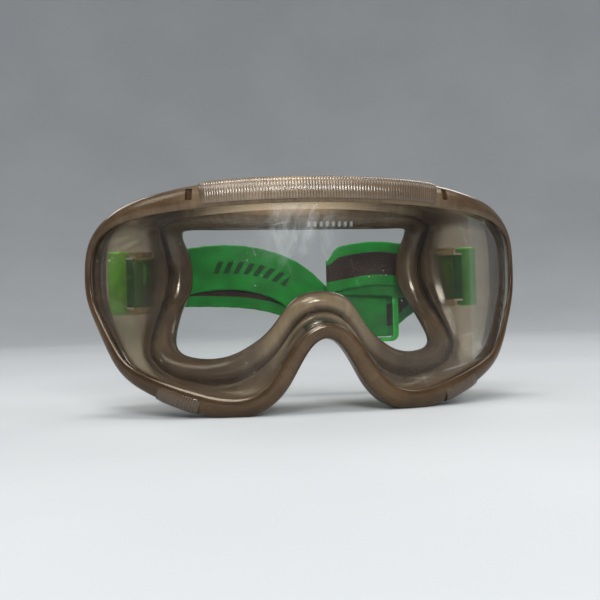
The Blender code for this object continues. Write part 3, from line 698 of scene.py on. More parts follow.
def webbing(print_from, print_to):
    """Woven elastic: long cords crossed by fine picks, a brown stripe on one face.

    The band attribute holds mm along, mm across, and 1 or -1 by face.
    """
    cord_pitch, pick_pitch, dash_pitch = 0.92, 0.74, 4.6
    along, across, face = split(attr("band", "Vector"))
    cord = (maths("SINE", across * (2 * math.pi / cord_pitch)) + 1.0) * 0.5
    shift = maths("PINGPONG", across / cord_pitch, 1.0) * math.pi
    pick = (maths("SINE", along * (2 * math.pi / pick_pitch) + shift) + 1.0) * 0.5
    fuzz = noise(join(along * 2.6, across * 4.0, face), detail=4.0, rough=0.65)
    wide = noise(join(along * 0.09, across * 0.16, face), rough=0.5)
    weave = cord * 0.55 + pick * 0.45

    green = mix(span(wide, over=(0.3, 0.72)), (0.0040, 0.165, 0.0150), (0.0065, 0.262, 0.0250))
    shaded = mix(0.62, green, (0.0008, 0.022, 0.004))
    green = mix(span(weave, over=(0.15, 0.95), to=(0.42, 0.95)), shaded, green)
    green = mix(span(fuzz, over=(0.62, 0.8), to=(0.0, 0.35)), green, (0.018, 0.230, 0.045))
    green = mix(span(abs(across), over=(8.9, 9.7)) * 0.45, green, (0.010, 0.200, 0.030))

    brown = mix(span(wide, over=(0.3, 0.7)), (0.021, 0.0095, 0.0070), (0.042, 0.019, 0.0135))
    shaded = mix(0.55, brown, (0.006, 0.003, 0.002))
    brown = mix(span(weave, over=(0.15, 0.95), to=(0.0, 0.7)), shaded, brown)
    brown = mix(span(fuzz, over=(0.60, 0.78), to=(0.0, 0.4)), brown, (0.075, 0.040, 0.028))
    ragged = abs(across) + (fuzz - 0.5) * 0.5
    stripe = span(ragged, over=(5.35, 5.05)) * span(face, over=(0.1, 0.6))
    base = mix(stripe, green, brown)

    # slanted dashes printed on the other face
    slant = maths("FRACT", (along + across * 0.45) / dash_pitch)
    dash = span(abs(slant - 0.5), over=(0.30, 0.24)) * span(abs(across), over=(2.9, 2.5))
    dash = dash * (span(along, over=(print_from, print_from + 0.4))
                   * span(along, over=(print_to, print_to - 0.4)))
    dash = dash * (span(face, over=(-0.1, -0.6)) * span(fuzz, over=(0.70, 0.5), to=(0.35, 0.85)))
    base = mix(dash, base, (0.002, 0.010, 0.003))
    return solid(
        Base_Color=base, Roughness=span(fuzz, over=(0.3, 0.8), to=(0.62, 0.86)),
        Specular_IOR_Level=0.22, Sheen_Weight=0.10, Sheen_Roughness=0.4,
        Sheen_Tint=(0.35, 0.9, 0.4),
        Normal=bump(weave * 0.8 + fuzz * 0.35, strength=0.32, depth=0.00014),
    )


def thread_look():
    """Twisted sewing thread."""
    at = here()
    twist = noise(stretch(at, (1.0, 1.0, 1.0)), scale=5200.0)
    wide = noise(at, scale=400.0, detail=2.0)
    base = mix(span(wide, over=(0.3, 0.7)), (0.010, 0.16, 0.030), (0.030, 0.27, 0.060))
    base = mix(span(twist, over=(0.35, 0.65), to=(0.0, 0.6)), base, (0.004, 0.07, 0.014))
    bent = bump(twist, strength=0.5, depth=0.00008)
    return solid(Base_Color=base, Roughness=0.6, Sheen_Weight=0.2, Normal=bent)


def floor_look():
    at = here()
    tone = noise(at, scale=5.0)
    fine = noise(at, scale=260.0, detail=2.0)
    base = mix(span(tone, over=(0.3, 0.7)), (0.43, 0.455, 0.48), (0.46, 0.485, 0.51))
    bent = bump(fine, strength=0.03, depth=0.0004)
    return solid(Base_Color=base, Roughness=0.75, Specular_IOR_Level=0.2, Normal=bent)


PVC = make_material("smoky_soft_pvc", smoky_pvc)
VENT = make_material("vent_cover_pvc", vent_pvc)
LENS = make_material("clear_lens", lens_look)
CLEAR = make_material("clear_bracket_plastic", bracket_look)
# each green by its dark and light colour; the two clips are one green plastic, painted lighter and
# yellower on the left as if lit and darker on the right as if in shade
CLIP_LEFT_LIT = make_material(
    "green_clip_lit_left", green_plastic, (0.075, 0.50, 0.014), (0.160, 0.68, 0.024))
CLIP_RIGHT_SHADED = make_material(
    "green_clip_shaded_right", green_plastic, (0.030, 0.40, 0.012), (0.070, 0.56, 0.024))
SLIDE = make_material(
    "green_slider_plastic", green_plastic, (0.010, 0.24, 0.020), (0.022, 0.42, 0.045))
THREAD = make_material("green_thread", thread_look)


# ---- frame body ---------------------------------------------------------------------
def frame_sections(stations):
    """Rounded sections of rim, wall and face seal: x, y, z, opacity, tone (painted light),
    streaks.
    """
    flat, _, rim, band = rim_frame(stations)
    inner = on_closed(closed_spline(mirrored(SEAL_IN)), stations)
    outer = on_closed(closed_spline(mirrored(SEAL_OUT)), stations)
    across = unit(inner - outer)
    along = unit(np.roll(outer, -2, 0) - np.roll(outer, 2, 0))
    back = unit(np.cross(across, along))
    back[back[:, 1] < 0] *= -1

    wall_in = np.clip(rim - 1.7, 2.9, 4.6)
    wall_out = wall_in - WALL
    tuck = rim - LENS_TUCK - LENS_GAP
    groove_back = -(LENS_GAP + LENS_T + LENS_GAP)
    root_out = rim_point(stations, wall_out, -band - 0.3)
    root_in = rim_point(stations, wall_in, -band + 0.9)
    seal_root = outer - across * 0.4
    normal = unit(np.cross(outer - root_out, along))
    inwards = np.mean([inner, root_in], axis=0) - np.mean([outer, root_out], axis=0)
    normal[np.sum(normal * inwards, axis=1) < 0] *= -1

    # weights by place, 0 to 1
    top = smooth(flat[:, 1], 30.0, 41.0)
    nose = smooth(-flat[:, 1], 12.0, 15.0) * smooth(26.0 - np.abs(flat[:, 0]), 0.0, 12.0)
    low = smooth(-flat[:, 1], 26.0, 36.0)
    middle = smooth(64.0 - np.abs(flat[:, 0]), 0.0, 22.0)
    # room the second bead has on the wall
    roll = smooth(np.linalg.norm(seal_root - root_out, axis=1), 9.0, 24.0)
    thin = 0.05 + 0.50 * top + 0.55 * nose + 0.42 * low      # opacity of the thin wall
    # painted light for the tone column: a painted glowing ceiling under the brow, lit through the
    # PVC and brightest a little left of the middle; a painted highlight along the top of the
    # bezel; and the lit inside of the brow
    painted_glow = top * (0.55 * middle + 0.95 * np.exp(-(((flat[:, 0] + 8.0) / 32.0) ** 2)))
    bezel = top * (0.08 + 0.42 * middle)
    brow = top * (0.9 + 0.9 * middle)
    rows = []

    def rim_at(inset, out):
        return rim_point(stations, inset, out)

    def wall_at(share, depth):
        """Share of the way from rim to seal, depth mm in from the outer skin."""
        bow = -math.sin(math.pi * share) * 1.2 + np.reshape(depth, (-1, 1))
        return root_out * (1 - share) + seal_root * share + normal * bow

    def seal_at(share, behind):
        return outer * (1 - share) + inner * share + back * behind

    def row(points, opacity, tone=0.0, streaks=0.0, floor=False, twice=False):
        """Adds control points; `floor` holds them off the floor, `twice` tightens the curve; tone
        paints light.
        """
        points = np.array(points, float)
        if floor:
            points[:, 2] = np.maximum(points[:, 2], -GROUND)
        looks = [np.ones(len(points)) * value for value in (opacity, tone, streaks)]
        full = np.concatenate([points, np.stack(looks, 1)], 1)
        rows.extend([full] * (2 if twice else 1))

    # bezel in front of the lens, from its opening outwards
    # tone paints a highlight along the top of the bezel, and a little light at the nose
    row(rim_at(rim, 0.0), 0.72, 0.3 * top, 0.3, twice=True)
    row(rim_at(rim + 0.05, 0.85), 0.76, 0.5 * top, 0.4, twice=True)
    painted_bezel_light = bezel + 0.12 * nose
    row(rim_at(rim * 0.82, 1.75), 0.84, 0.06 + painted_bezel_light, 0.5 * top)
    row(rim_at(rim * 0.52, 1.60), 0.86, 0.04 + painted_bezel_light, 0.5 * top)
    row(rim_at(rim * 0.24, 0.75), 0.86, painted_bezel_light, 0.5 * top)
    # band round the rim
    # tone along the top paints light on the band round the rim too
    row(rim_at(0.25, -0.55), 0.84, painted_bezel_light, 0.2 * top, floor=True)
    row(rim_at(0.0, -2.4), 0.8, 0.4 * top, 0.1, floor=True)
    row(rim_at(0.0, -band * 0.6), 0.78, 0.3 * top, 0.1, floor=True)
    row(rim_at(0.0, -band), 0.76, 0.2 * top, 0.1, floor=True, twice=True)
    row(rim_at(wall_out * 0.55 + 0.2, -band - 0.25), 0.66, 0.1 * top, 0.1, floor=True)
    # outer skin of the wall
    row(root_out, thin + 0.12, 0.1 * top, 0.1, twice=True)
    row(wall_at(0.22, 0.0), thin)
    row(wall_at(0.45, 0.0), thin)
    row(wall_at(0.70, 0.0), thin)
    row(wall_at(0.87, 0.05), 0.30, 0.0, 0.1)
    # seal: over its crest, round the inner edge and back under it
    row(seal_root + back * 0.5 - normal * 0.3, 0.93, 0.05, 0.1)
    row(outer + across * 1.6 + back * 2.1, 0.96, 0.05, 0.15)
    row(seal_at(0.28, SEAL_CREST + 0.1), 0.96, 0.05, 0.15)
    row(seal_at(0.55, SEAL_CREST + 0.1), 0.96, 0.05, 0.15)
    row(inner - across * 1.9 + back * 1.9, 0.96, 0.05, 0.15)
    row(inner + back * 0.6, 0.96, 0.05, 0.1)
    row(inner + across * 0.05 - back * 0.5, 0.96, 0.05, 0.1)
    row(inner - across * 0.8 - back * 2.0, 0.96, 0.08, 0.12)
    # tone under the seal paints light: a lighter lit tan at the nose and the painted glowing
    # ceiling under the brow
    row(seal_at(0.76, -3.0), 0.96, 0.12 + 0.8 * nose + 0.12 * painted_glow, 0.25)
    row(seal_at(0.50, -3.3), 0.96, 0.16 + 0.85 * nose + 0.55 * painted_glow, 0.3)
    row(seal_at(0.26, -2.4), 0.96, 0.12 + 0.8 * nose + 0.9 * painted_glow, 0.25)
    row(outer + across * 1.7 + back * 0.2, 0.95, 1.05 * painted_glow, 0.1, twice=True)
    # second bead, on the inner skin beside the seal
    # tone paints light here too: the painted glowing ceiling under the brow, lighter at the nose
    # and low down
    row(wall_at(0.975, WALL + 0.3 + 1.3 * roll), 0.94, 0.10 + 0.5 * nose + 1.25 * painted_glow, 0.12)
    row(wall_at(0.90, WALL + 0.2 + 2.9 * roll), 0.92, 0.14 + 0.5 * nose + 1.3 * painted_glow, 0.15)
    row(wall_at(0.80, WALL + 0.1 + 2.8 * roll), 0.74 + 0.2 * top,
        0.10 + 0.5 * nose + 1.3 * painted_glow, 0.12)
    row(wall_at(0.71, WALL + 0.5 * roll), 0.12 + 0.66 * low + 0.7 * top,
        0.2 * low + 1.3 * painted_glow, 0.1)
    # inner skin of the wall
    # tone on the inner skin paints light from above through the top wall, and lighter low down
    row(wall_at(0.45, WALL), thin, top * (0.5 + 0.9 * middle) + 0.35 * low, 0.1 * top)
    row(wall_at(0.22, WALL), thin + 0.3 * top,
        1.5 * top * middle + 0.6 * top + 0.45 * low, 0.2 * top)
    row(root_in, thin + 0.1 + 0.3 * top, brow + 0.4 * low, 0.2 * top)
    # lip behind the lens, then the groove the lens sits in
    # tone paints the lit brow, nose and bottom behind the lens
    row(rim_at(rim - 1.7, -5.6), 0.7 + 0.2 * top, brow + 0.3 * nose + 0.3 * low, 0.2 * top,
        twice=True)
    row(rim_at(rim - 0.7, -4.5), 0.72 + 0.2 * top, brow + 0.4 * nose + 0.4 * low, 0.2 * top,
        twice=True)
    row(rim_at(rim - 0.7, groove_back), 0.7, 0.6 * top, 0.2, twice=True)
    row(rim_at(tuck, groove_back), 0.6, twice=True)
    row(rim_at(tuck, 0.0), 0.6, twice=True)
    return rounded_section(rows)


def slot_cutter(name, x, z, wide, tall, depth=3.0, behind=6.9, radius=0.6):
    """Upright rounded block, turned to the lens curve and set `behind` mm behind it."""
    y = float(plan_y(np.array(x))) + behind
    angle = math.atan2(WRAP_Y * x / WRAP_X**2, math.sqrt(1 - (x / WRAP_X) ** 2))
    cos, sin = math.cos(angle), math.sin(angle)

    def lift(p, height):
        return x + p[0] * cos - p[1] * sin, y + p[0] * sin + p[1] * cos, height

    section = rounded_box(wide, depth, radius, 4)
    return piece(name, *prism(section, z - tall / 2, z + tall / 2, lift), PVC)


def frame_body():
    stations, rim_length = even_stations(STATIONS)
    swept = frame_sections(stations)
    points, faces = ring_sweep(swept, closed=True)
    body = piece("goggle_frame", points[:, :3], faces, PVC, {
        "flow": flow_of(swept, np.arange(STATIONS) / STATIONS * rim_length),
        "opac": points[:, 3], "tone": points[:, 4], "fine": points[:, 5],
    })
    cutters = [
        slot_cutter(f"cut_top_{i}", x, 44.5, wide=7.5, tall=14.0)
        for i, x in enumerate(range(-36, 37, 12))
    ]
    for sign in (-1, 1):
        for i, (x, z) in enumerate(((53.0, -38.5), (60.5, -35.5))):
            cutters.append(slot_cutter(f"cut_low_{sign}_{i}", sign * x, z, wide=5.0, tall=14.0))
        # small slot in the brow, past each end of the top cover
        cutters.append(slot_cutter(
            f"cut_notch_{sign}", sign * 50.6, 41.0,
            wide=2.6, tall=4.4, depth=4.2, behind=-0.8, radius=0.5,
        ))
    combine(body, cutters, "DIFFERENCE", sharp=42, carry=("flow", "opac", "tone", "fine"))
    register(body, "frame_body")


# ---- lens ---------------------------------------------------------------------------
def lens_piece():
    """Curved sheet: triangulated front and rear faces joined by a chamfered edge."""
    count, grid, chamfer = 420, 2.6, 0.35
    stations, _ = even_stations(count)
    flat, inward, rim, _ = rim_frame(stations)
    edge = flat + inward * (rim - LENS_TUCK)[:, None]
    face_edge = flat + inward * (rim - LENS_TUCK + 0.45)[:, None]
    low, high = edge.min(0), edge.max(0)
    inside = []
    for x in np.arange(low[0] + grid * 0.6, high[0], grid):
        for z in np.arange(low[1] + grid * 0.6, high[1], grid * 1.5):
            if np.min(np.hypot(edge[:, 0] - x, edge[:, 1] - z)) > grid * 0.7:
                inside.append((x, z))
    seeds = [Vector(p) for p in face_edge] + [Vector(p) for p in inside]
    verts, _, triangles, *_ = delaunay_2d_cdt(seeds, [], [list(range(count))], 1, 1e-6)
    sheet = np.array([tuple(v) for v in verts])
    n = len(sheet)

    def layer(outline, out):
        return wrapped(outline[:, 0], outline[:, 1], out * np.ones(len(outline)))

    points = np.concatenate([
        layer(sheet, -LENS_GAP), layer(sheet, -LENS_GAP - LENS_T),
        layer(edge, -LENS_GAP - chamfer), layer(edge, -LENS_GAP - LENS_T + chamfer),
    ])
    faces = [tuple(f) for f in triangles] + [tuple(i + n for i in f[::-1]) for f in triangles]
    near = [int(np.argmin(np.hypot(sheet[:, 0] - x, sheet[:, 1] - z))) for x, z in face_edge]
    front, rear = 2 * n, 2 * n + count       # first points of the two edge rings
    for i in range(count):
        j = (i + 1) % count
        a, b = near[i], near[j]
        faces += [
            (a, b, front + j, front + i), (front + i, front + j, rear + j, rear + i),
            (rear + i, rear + j, b + n, a + n),
        ]
    on_edge = np.zeros(len(points))
    on_edge[front:] = 1.0
    register(piece("goggle_lens", points, faces, LENS, {"edge": on_edge}, 40), "lens")


# ---- vent covers --------------------------------------------------------------------
def rim_parameter(x, brow):
    """Rim parameter at x, on the brow or on the bottom of a lobe."""
    param = np.linspace(0.0, KNOTS, 12001)
    flat = on_closed(RIM, param)
    on_bottom = (flat[:, 1] < -20) & (np.abs(flat[:, 0]) > 30)
    allowed = (flat[:, 1] > 20) if brow else on_bottom
    return param[nearest(flat[:, 0], arc_of(np.array(x)), allowed)]


def vent_cover(name, node_name, x_from, x_to, brow, front_reach, rear_reach, pitch, rib, thick):
    """Ribbed strip hooked over the rim; rib is the height of its ribs."""
    start, end = sorted((rim_parameter(x_from, brow), rim_parameter(x_to, brow)))
    if end - start > KNOTS / 2:              # the strip runs over the first knot
        start, end = end - KNOTS, start
    length = abs(float(arc_of(np.array(x_to)) - arc_of(np.array(x_from))))
    count = 8 * int(length / pitch) + 1
    gone = np.linspace(0, length, count)
    param = np.linspace(start, end, count) % KNOTS
    to_end = np.minimum(gone, length - gone)
    crown = 0.5 - 0.5 * np.cos(2 * math.pi * gone / pitch)
    crown = np.clip(crown * 1.5 - 0.25, 0, 1) * smooth(to_end, 0.3, 1.2)
    rise = crown * rib
    slim = 0.22 + 0.78 * smooth(to_end, 0.0, 3.0)       # thinner at both ends
    gap, skin = 0.30 * slim, thick * slim
    reach = np.minimum(front_reach, rim_frame(param)[2] * 0.86)
    section = [      # inset from the rim, mm out in front, share of the rib crown
        (reach, 1.42 + gap, 0.4),
        (reach * 0.72, 1.40 + gap, 0.0),
        (reach * 0.42, 1.02 + gap, 0.0),
        (0.9, 0.10 + gap, 0.0),
        (-0.02 - gap, -1.6, 0.0),
        (-gap, -rear_reach + 0.2, 0.0),
        (-gap - 0.3, -rear_reach, 0.0),
        (-gap - skin * 0.8, -rear_reach + 0.05, 0.4),
        (-gap - skin - rise, -rear_reach + 0.7, 1.0),
        (-gap - skin - rise, -3.6, 1.0),
        (-gap - skin * 0.95 - rise, -1.7, 1.0),
        (-0.1 - rise * 0.8, 0.35 + skin + rise * 0.6, 1.0),
        (reach * 0.36, 1.25 + gap + skin + rise * 0.9, 1.0),
        (reach * 0.70, 1.52 + gap + skin * 0.8 + rise, 1.0),
        (reach * 0.95, 1.46 + gap + skin * 0.45 + rise * 0.8, 1.0),
        (reach + 0.12, 1.42 + gap + skin * 0.15, 0.6),
    ]
    swept = rounded_section([
        np.concatenate([rim_point(param, inset, out), (crown * share)[:, None]], 1)
        for inset, out, share in section
    ])
    # painted light share: a painted highlight along the brow strip, peaking a third of the way
    # along it; the lower strips get a low share and stay darker
    painted_light_share = np.full(count, 0.12)
    if brow:
        painted_light_share = 0.26 + 0.74 * np.exp(-(((gone - 0.34 * length) / 26.0) ** 2))
    points, faces = ring_sweep(swept, closed=False)
    made = piece(name, points[:, :3], faces, VENT, {
        "crown": np.clip(points[:, 3], 0, 1), "flow": flow_of(swept, gone),
        "painted_light_share": np.repeat(painted_light_share, swept.shape[1]),
    }, 60)
    register(made, node_name)


# ---- clips and brackets -------------------------------------------------------------
def side_point(sign, run, forward, height=0.0):
    """Point from the rod's middle: run to the back and middle, forward square to it."""
    x = PIN[0] - math.cos(SWEEP) * run - math.sin(SWEEP) * forward
    y = PIN[1] + math.sin(SWEEP) * run - math.cos(SWEEP) * forward
    return (sign * x, y, PIN[2] + height)


def clip_piece(sign, tag, material):
    """Upright green bar, hollowed for the band, with a rod down its middle."""
    half, fillet = CLIP_H / 2, 1.1

    def lift(p, height):
        return side_point(sign, p[0], p[1], height)

    turns = [math.radians(90 * i / 6) for i in range(7)]
    cap = [(CLIP_R - fillet + fillet * math.sin(a), half - fillet + fillet * math.cos(a))
           for a in turns]
    profile = cap + [(CLIP_R, h) for h in np.linspace(half - 1.9, -half + 1.9, 9)]
    profile += [(radius, -h) for radius, h in cap[::-1]]
    rows = [[lift(p, h) for p in circle(radius, 72)] for radius, h in profile]
    made = piece(f"strap_clip_bar_{tag}", *ring_sweep(rows, closed=False), material)

    # the hollow, cut right through the shell between two angles
    start, end = math.radians(250), math.radians(76 + 360)
    turns = [(6.5, start + (end - start) * i / 40) for i in range(41)]
    turns += [(CLIP_IN_R, end + (2 * math.pi - (end - start)) * i / 60) for i in range(61)]
    hollow = [(radius * math.cos(a), radius * math.sin(a)) for radius, a in turns]
    level = half - CLIP_CAP
    cut = piece("cut_hollow", *prism(hollow, -level, level, lift), material)
    rod = piece("cut_rod", *prism(circle(PIN_R, 32), -half + 1.0, half - 1.0, lift), material)
    combine(made, [cut], "DIFFERENCE")
    combine(made, [rod], "UNION")
    bevel(made, width=0.18, segments=2, angle=50, sharp=50)
    register(made, f"strap_clip_{tag}")


def bracket_piece(sign, tag):
    """Clear channel behind the clip, with a foot, ribs and a rail along each arm."""
    half, front = BRACKET_H / 2, 4.7
    inside = STRAP_W / 2 + 1.2

    def upright(p, height):
        return side_point(sign, p[0], p[1], height)

    def lengthwise(p, run):
        return side_point(sign, run, p[0], p[1])

    rows = []
    # run, growth of the half height
    for run, grow in ((4.9, 0.0), (7.0, 0.0), (9.5, -0.05), (11.8, -0.2), (13.6, -0.6)):
        h = half + grow
        rows.append([side_point(sign, run, forward, z) for forward, z in (
            (-2.6, -h), (front, -h), (front, h), (-2.6, h), (-2.6, inside),
            (front - BRACKET_T, inside), (front - BRACKET_T, -inside), (-2.6, -inside),
        )])
    made = piece(f"strap_bracket_clear_{tag}", *ring_sweep(rows, closed=False), CLEAR)
    bevel(made, width=0.32, segments=3, angle=40, sharp=50)

    foot = [(5.6, 4.2), (13.0, 4.2), (12.4, 6.2), (11.4, 6.7), (7.6, 6.9), (6.4, 6.4)]
    adds = [("add_foot", prism(foot, -7.4, 7.4, upright))]
    for i, run in enumerate((7.4, 9.3, 11.2)):
        turns = np.radians(np.linspace(-40, 220, 12))
        rib = [(run + 0.5 * math.cos(a), 4.55 + 0.75 * math.sin(a)) for a in turns]
        adds.append((f"add_rib_{i}", prism(rib, -half + 1.3, half - 1.3, upright)))
    for z in (-half + 0.75, half - 0.75):
        rail = [(4.95 + dx, z + dz) for dx, dz in circle(0.62, 16)]
        adds.append(("add_rail", prism(rail, 5.2, 13.2, lengthwise)))
    for other in [piece(name, *shape, CLEAR) for name, shape in adds]:
        combine(made, [other], "UNION")
    register(made, f"strap_bracket_{tag}")


frame_body()
lens_piece()
vent_cover("vent_strip_top", "top_vent_cover", -47.0, 47.0, brow=True,
           front_reach=8.2, rear_reach=8.8, pitch=1.08, rib=0.09, thick=0.5)
for sign, tag in ((-1, "left"), (1, "right")):
    vent_cover(f"vent_strip_lower_{tag}", f"lower_vent_cover_{tag}", sign * 49.5, sign * 64.5,
               brow=False, front_reach=5.4, rear_reach=8.0, pitch=1.0, rib=0.06, thick=0.28)
for sign, tag, green in ((-1, "left", CLIP_LEFT_LIT), (1, "right", CLIP_RIGHT_SHADED)):
    clip_piece(sign, tag, green)
    bracket_piece(sign, tag)


# ---- headband -----------------------------------------------------------------------
def eased(path, times=6):
    """Takes the kinks out where runs meet, with both ends kept."""
    gone = travelled(path)
    even = np.linspace(0, gone[-1], max(8, int(gone[-1] / STEP)))
    path = np.stack([np.interp(even, gone, path[:, k]) for k in range(3)], 1)
    for _ in range(times):
        path[1:-1] = 0.5 * path[1:-1] + 0.25 * (path[:-2] + path[2:])
    return path


def round_rod(sign, before, after):
    """Runs of a band that comes in on the front layer, turns on the rod and goes back."""
    turns = np.radians(np.linspace(90, 270, 41))
    loop = [side_point(sign, LOOP_R * math.cos(a), LOOP_R * math.sin(a)) for a in turns]
    front = side_point(sign, 5.0, LOOP_R * 0.86)
    rear = [side_point(sign, 5.0, -LOOP_R * 0.86), side_point(sign, 12.5, -PLY / 2 - 0.1)]
    return [
        open_spline(before + [front, loop[0]]), np.array(loop[1:-1]),
        open_spline([loop[-1]] + rear + after),
    ]


def roll_down(path, past, drop, start, end):
    """Fall of the top edge near the middle turn, past a share of the path."""
    late = np.arange(len(path)) > len(path) * past
    return np.where(late, drop * (1 - smooth(path[:, 0], start, end)) ** 1.5, 0.0)


def band_ribbon(name, path, face_sign, gone_before=0.0, droop=0.0):
    """Woven band along path, its width upright; face_sign picks the striped face.

    Returns the object and its path, upward and outward directions.
    """
    tangent = unit(np.gradient(path, axis=0))
    up = np.tile((0.0, 0.0, 1.0), (len(path), 1))
    up = unit(up - tangent * np.sum(up * tangent, axis=1)[:, None])
    out = np.cross(tangent, up)
    along = gone_before + travelled(path)
    half, thick = STRAP_W / 2, STRAP_T / 2
    cords, inset, edge_r, groove = 22, 0.75, 0.55, 0.035
    section = []      # across, through, face
    for side in (1.0, -1.0):
        for i in range(cords + 1):
            v = -half + inset + (2 * half - 2 * inset) * i / cords
            section.append((side * v, side * (thick - (groove if i % 2 else 0.0)), side))
        for a in side * np.radians((60, 20, -20, -60)):
            v = half - edge_r + edge_r * math.cos(a)
            section.append((side * v, thick * 1.02 * math.sin(a), math.sin(a)))
    section = np.array(section)
    ripple = 0.06 * np.sin(along * 2 * math.pi / 7.3)
    ripple = ripple + 0.05 * np.sin(along * 2 * math.pi / 4.1 + 1.0)
    tall = section[None, :, 0] * (1.0 + ripple / half)[:, None]
    droop = np.broadcast_to(droop, len(path))
    tall = tall - np.clip(section[None, :, 0] / half, 0, 1) * droop[:, None]
    rows = (
        path[:, None, :] + up[:, None, :] * tall[:, :, None]
        + out[:, None, :] * section[None, :, 1][:, :, None]
    )
    band = np.zeros((len(path), len(section), 3))
    band[:, :, 0] = along[:, None]
    band[:, :, 1] = section[None, :, 0]
    band[:, :, 2] = section[None, :, 2] * face_sign
    points, faces = ring_sweep(rows, closed=False)
    made = piece(name, points, faces, WEB, {"band": band.reshape(-1, 3)}, 60)
    return made, (path, up, out)


# Left band, x, y, z: layer in front of the other, from the clip to its end in the slider.
FRONT_PLY = [
    (-57.0, 62.4, 12.0), (-46.0, 64.9, 14.8), (-29.0, 66.6, 16.2), (-14.0, 67.4, 14.0),
    (-3.0, 68.1, 9.6), (4.5, 68.7, 3.9), (11.0, 69.5, -2.6), (16.0, PLY_FRONT_Y - 0.04, -6.3),
    (20.0, PLY_FRONT_Y, SLIDER_Z), (25.0, PLY_FRONT_Y, SLIDER_Z),
    (35.0, PLY_FRONT_Y, SLIDER_Z), (44.0, PLY_FRONT_Y, SLIDER_Z),
]
# Rear layer, from the clip through the slider and round the loose loop.
REAR_PLY = [
    (-57.5, 64.4, 9.2), (-46.0, 66.8, 9.0), (-29.0, 68.5, 8.4), (-14.0, 69.3, 6.6),
    (-3.0, 70.0, 3.6), (4.5, 70.5, -0.2), (11.0, 71.2, -4.6), (16.0, PLY_REAR_Y - 0.04, -6.6),
    (20.0, PLY_REAR_Y, SLIDER_Z), (25.0, PLY_REAR_Y, SLIDER_Z),
    (36.0, PLY_REAR_Y, SLIDER_Z), (43.0, PLY_REAR_Y, SLIDER_Z), (46.6, 73.4, -7.15),
    (48.3, 76.9, -6.6), (50.2, 80.4, -4.2), (53.8, 82.5, 0.0), (57.4, 80.9, 4.2),
    (59.8, 77.3, 6.9), (60.4, 74.2, 8.0),
]
# From the loop the band comes forward and runs back to the middle.
FOLD_REST = [
    (60.4, 74.2, 8.0), (60.4, 72.9, 8.4), (59.6, 69.8, 9.3), (57.0, 67.2, 10.2),
    (53.0, 66.0, 10.6), (45.0, 66.0, 11.6), (30.0, 66.0, 12.5), (19.0, 66.0, 12.8),
]
TURN_Y = FOLD_Y - FOLD_R - TURN_R
RIGHT_Y = TURN_Y - TURN_R
# Right band, from the clip to the turn at the middle.
RIGHT_PLY = [
    (60.0, 62.3, 12.2), (54.0, 63.3, 14.6), (46.0, RIGHT_Y, 16.2), (36.0, RIGHT_Y, 16.8),
    (26.0, RIGHT_Y, 15.6), (18.0, RIGHT_Y, 14.2),
]

left_front = FRONT_PLY[::-1] + [side_point(-1, 12.5, PLY / 2 + 0.1)]
left_whole = eased(np.concatenate(round_rod(-1, left_front, REAR_PLY)))
left_gone = travelled(left_whole)
left_index = np.arange(len(left_whole))
on_front_ply = left_index < len(left_whole) * 0.45
# the left run hands over on the loop's far side, where the band comes forward again
past_slider = (left_index > len(left_whole) * 0.8) & (left_whole[:, 0] > 56.0)
hand_over = nearest(left_whole[:, 1], 78.5, past_slider)
print_range = sorted(
    float(left_gone[nearest(left_whole[:, 0], x, on_front_ply)]) for x in (-2.5, -36.5)
)
WEB = make_material("green_elastic_webbing", webbing, *print_range)

left_run, left_lines = band_ribbon("headband_left", left_whole[: hand_over + 1], 1.0)
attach(left_run, "band_left")
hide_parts("headband_left_run")

fold_path = eased(np.concatenate([left_whole[hand_over:-1], open_spline(FOLD_REST)]), 3)
fold_run, _ = band_ribbon(
    "headband_middle", fold_path, 1.0, float(left_gone[hand_over]),
    droop=roll_down(fold_path, past=0.6, drop=5.0, start=16.0, end=26.0),
)
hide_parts("headband_fold")
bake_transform(fold_run)

turn = [
    (TURN_X + TURN_R * math.cos(a), TURN_Y + TURN_R * math.sin(a), 13.8)
    for a in np.radians(np.linspace(100, 260, 15))
]
right_tail = [side_point(1, 15.0, PLY / 2), side_point(1, 10.0, PLY / 2 + 0.1)]
right_runs = round_rod(1, right_tail, RIGHT_PLY)
right_path = eased(np.concatenate(right_runs + [np.array(turn[::-1])]), 2)
right_run, right_lines = band_ribbon(
    "headband_right", right_path, -1.0, 400.0,
    droop=roll_down(right_path, past=0.5, drop=5.5, start=15.0, end=24.0),
)
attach(right_run, "band_right")
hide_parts("headband_right_run")


# ---- sewing: bar tacks across the two band ends -------------------------------------
def thread_tube(path, radius=0.13, sides=6):
    path = np.asarray(path, float)
    tangent = unit(np.gradient(path, axis=0))
    side = unit(np.cross(tangent, (0.13, 0.2, 1.0)))
    up = np.cross(side, tangent)
    a = np.linspace(0, 2 * math.pi, sides, endpoint=False)[None, :, None]
    ring = np.cos(a) * side[:, None, :] + np.sin(a) * up[:, None, :]
    return ring_sweep(path[:, None, :] + radius * ring, closed=False)


def tack(name, index, lines, face, body, height, width=1.3, count=19):
    """A zigzag of thread across the band."""
    path, up, out = lines
    outward = out[index] * face
    tangent = path[index + 1] - path[index - 1]
    tangent /= np.linalg.norm(tangent)
    corners = []
    for i in range(count * 2 + 1):
        level = -height / 2 + height * i / (count * 2)
        swing = width / 2 if i % 2 else -width / 2
        lifted = outward * (STRAP_T / 2 + 0.06)
        corners.append(path[index] + up[index] * level + tangent * swing + lifted)
    fine = []
    for a, b in zip(corners[:-1], corners[1:]):
        for share in np.linspace(0, 1, 6, endpoint=False):
            bow = outward * (0.07 * math.sin(math.pi * share))
            fine.append(a * (1 - share) + b * share + bow)
    fine.append(corners[-1])
    made = piece(name, *thread_tube(fine), THREAD)
    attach(made, body)


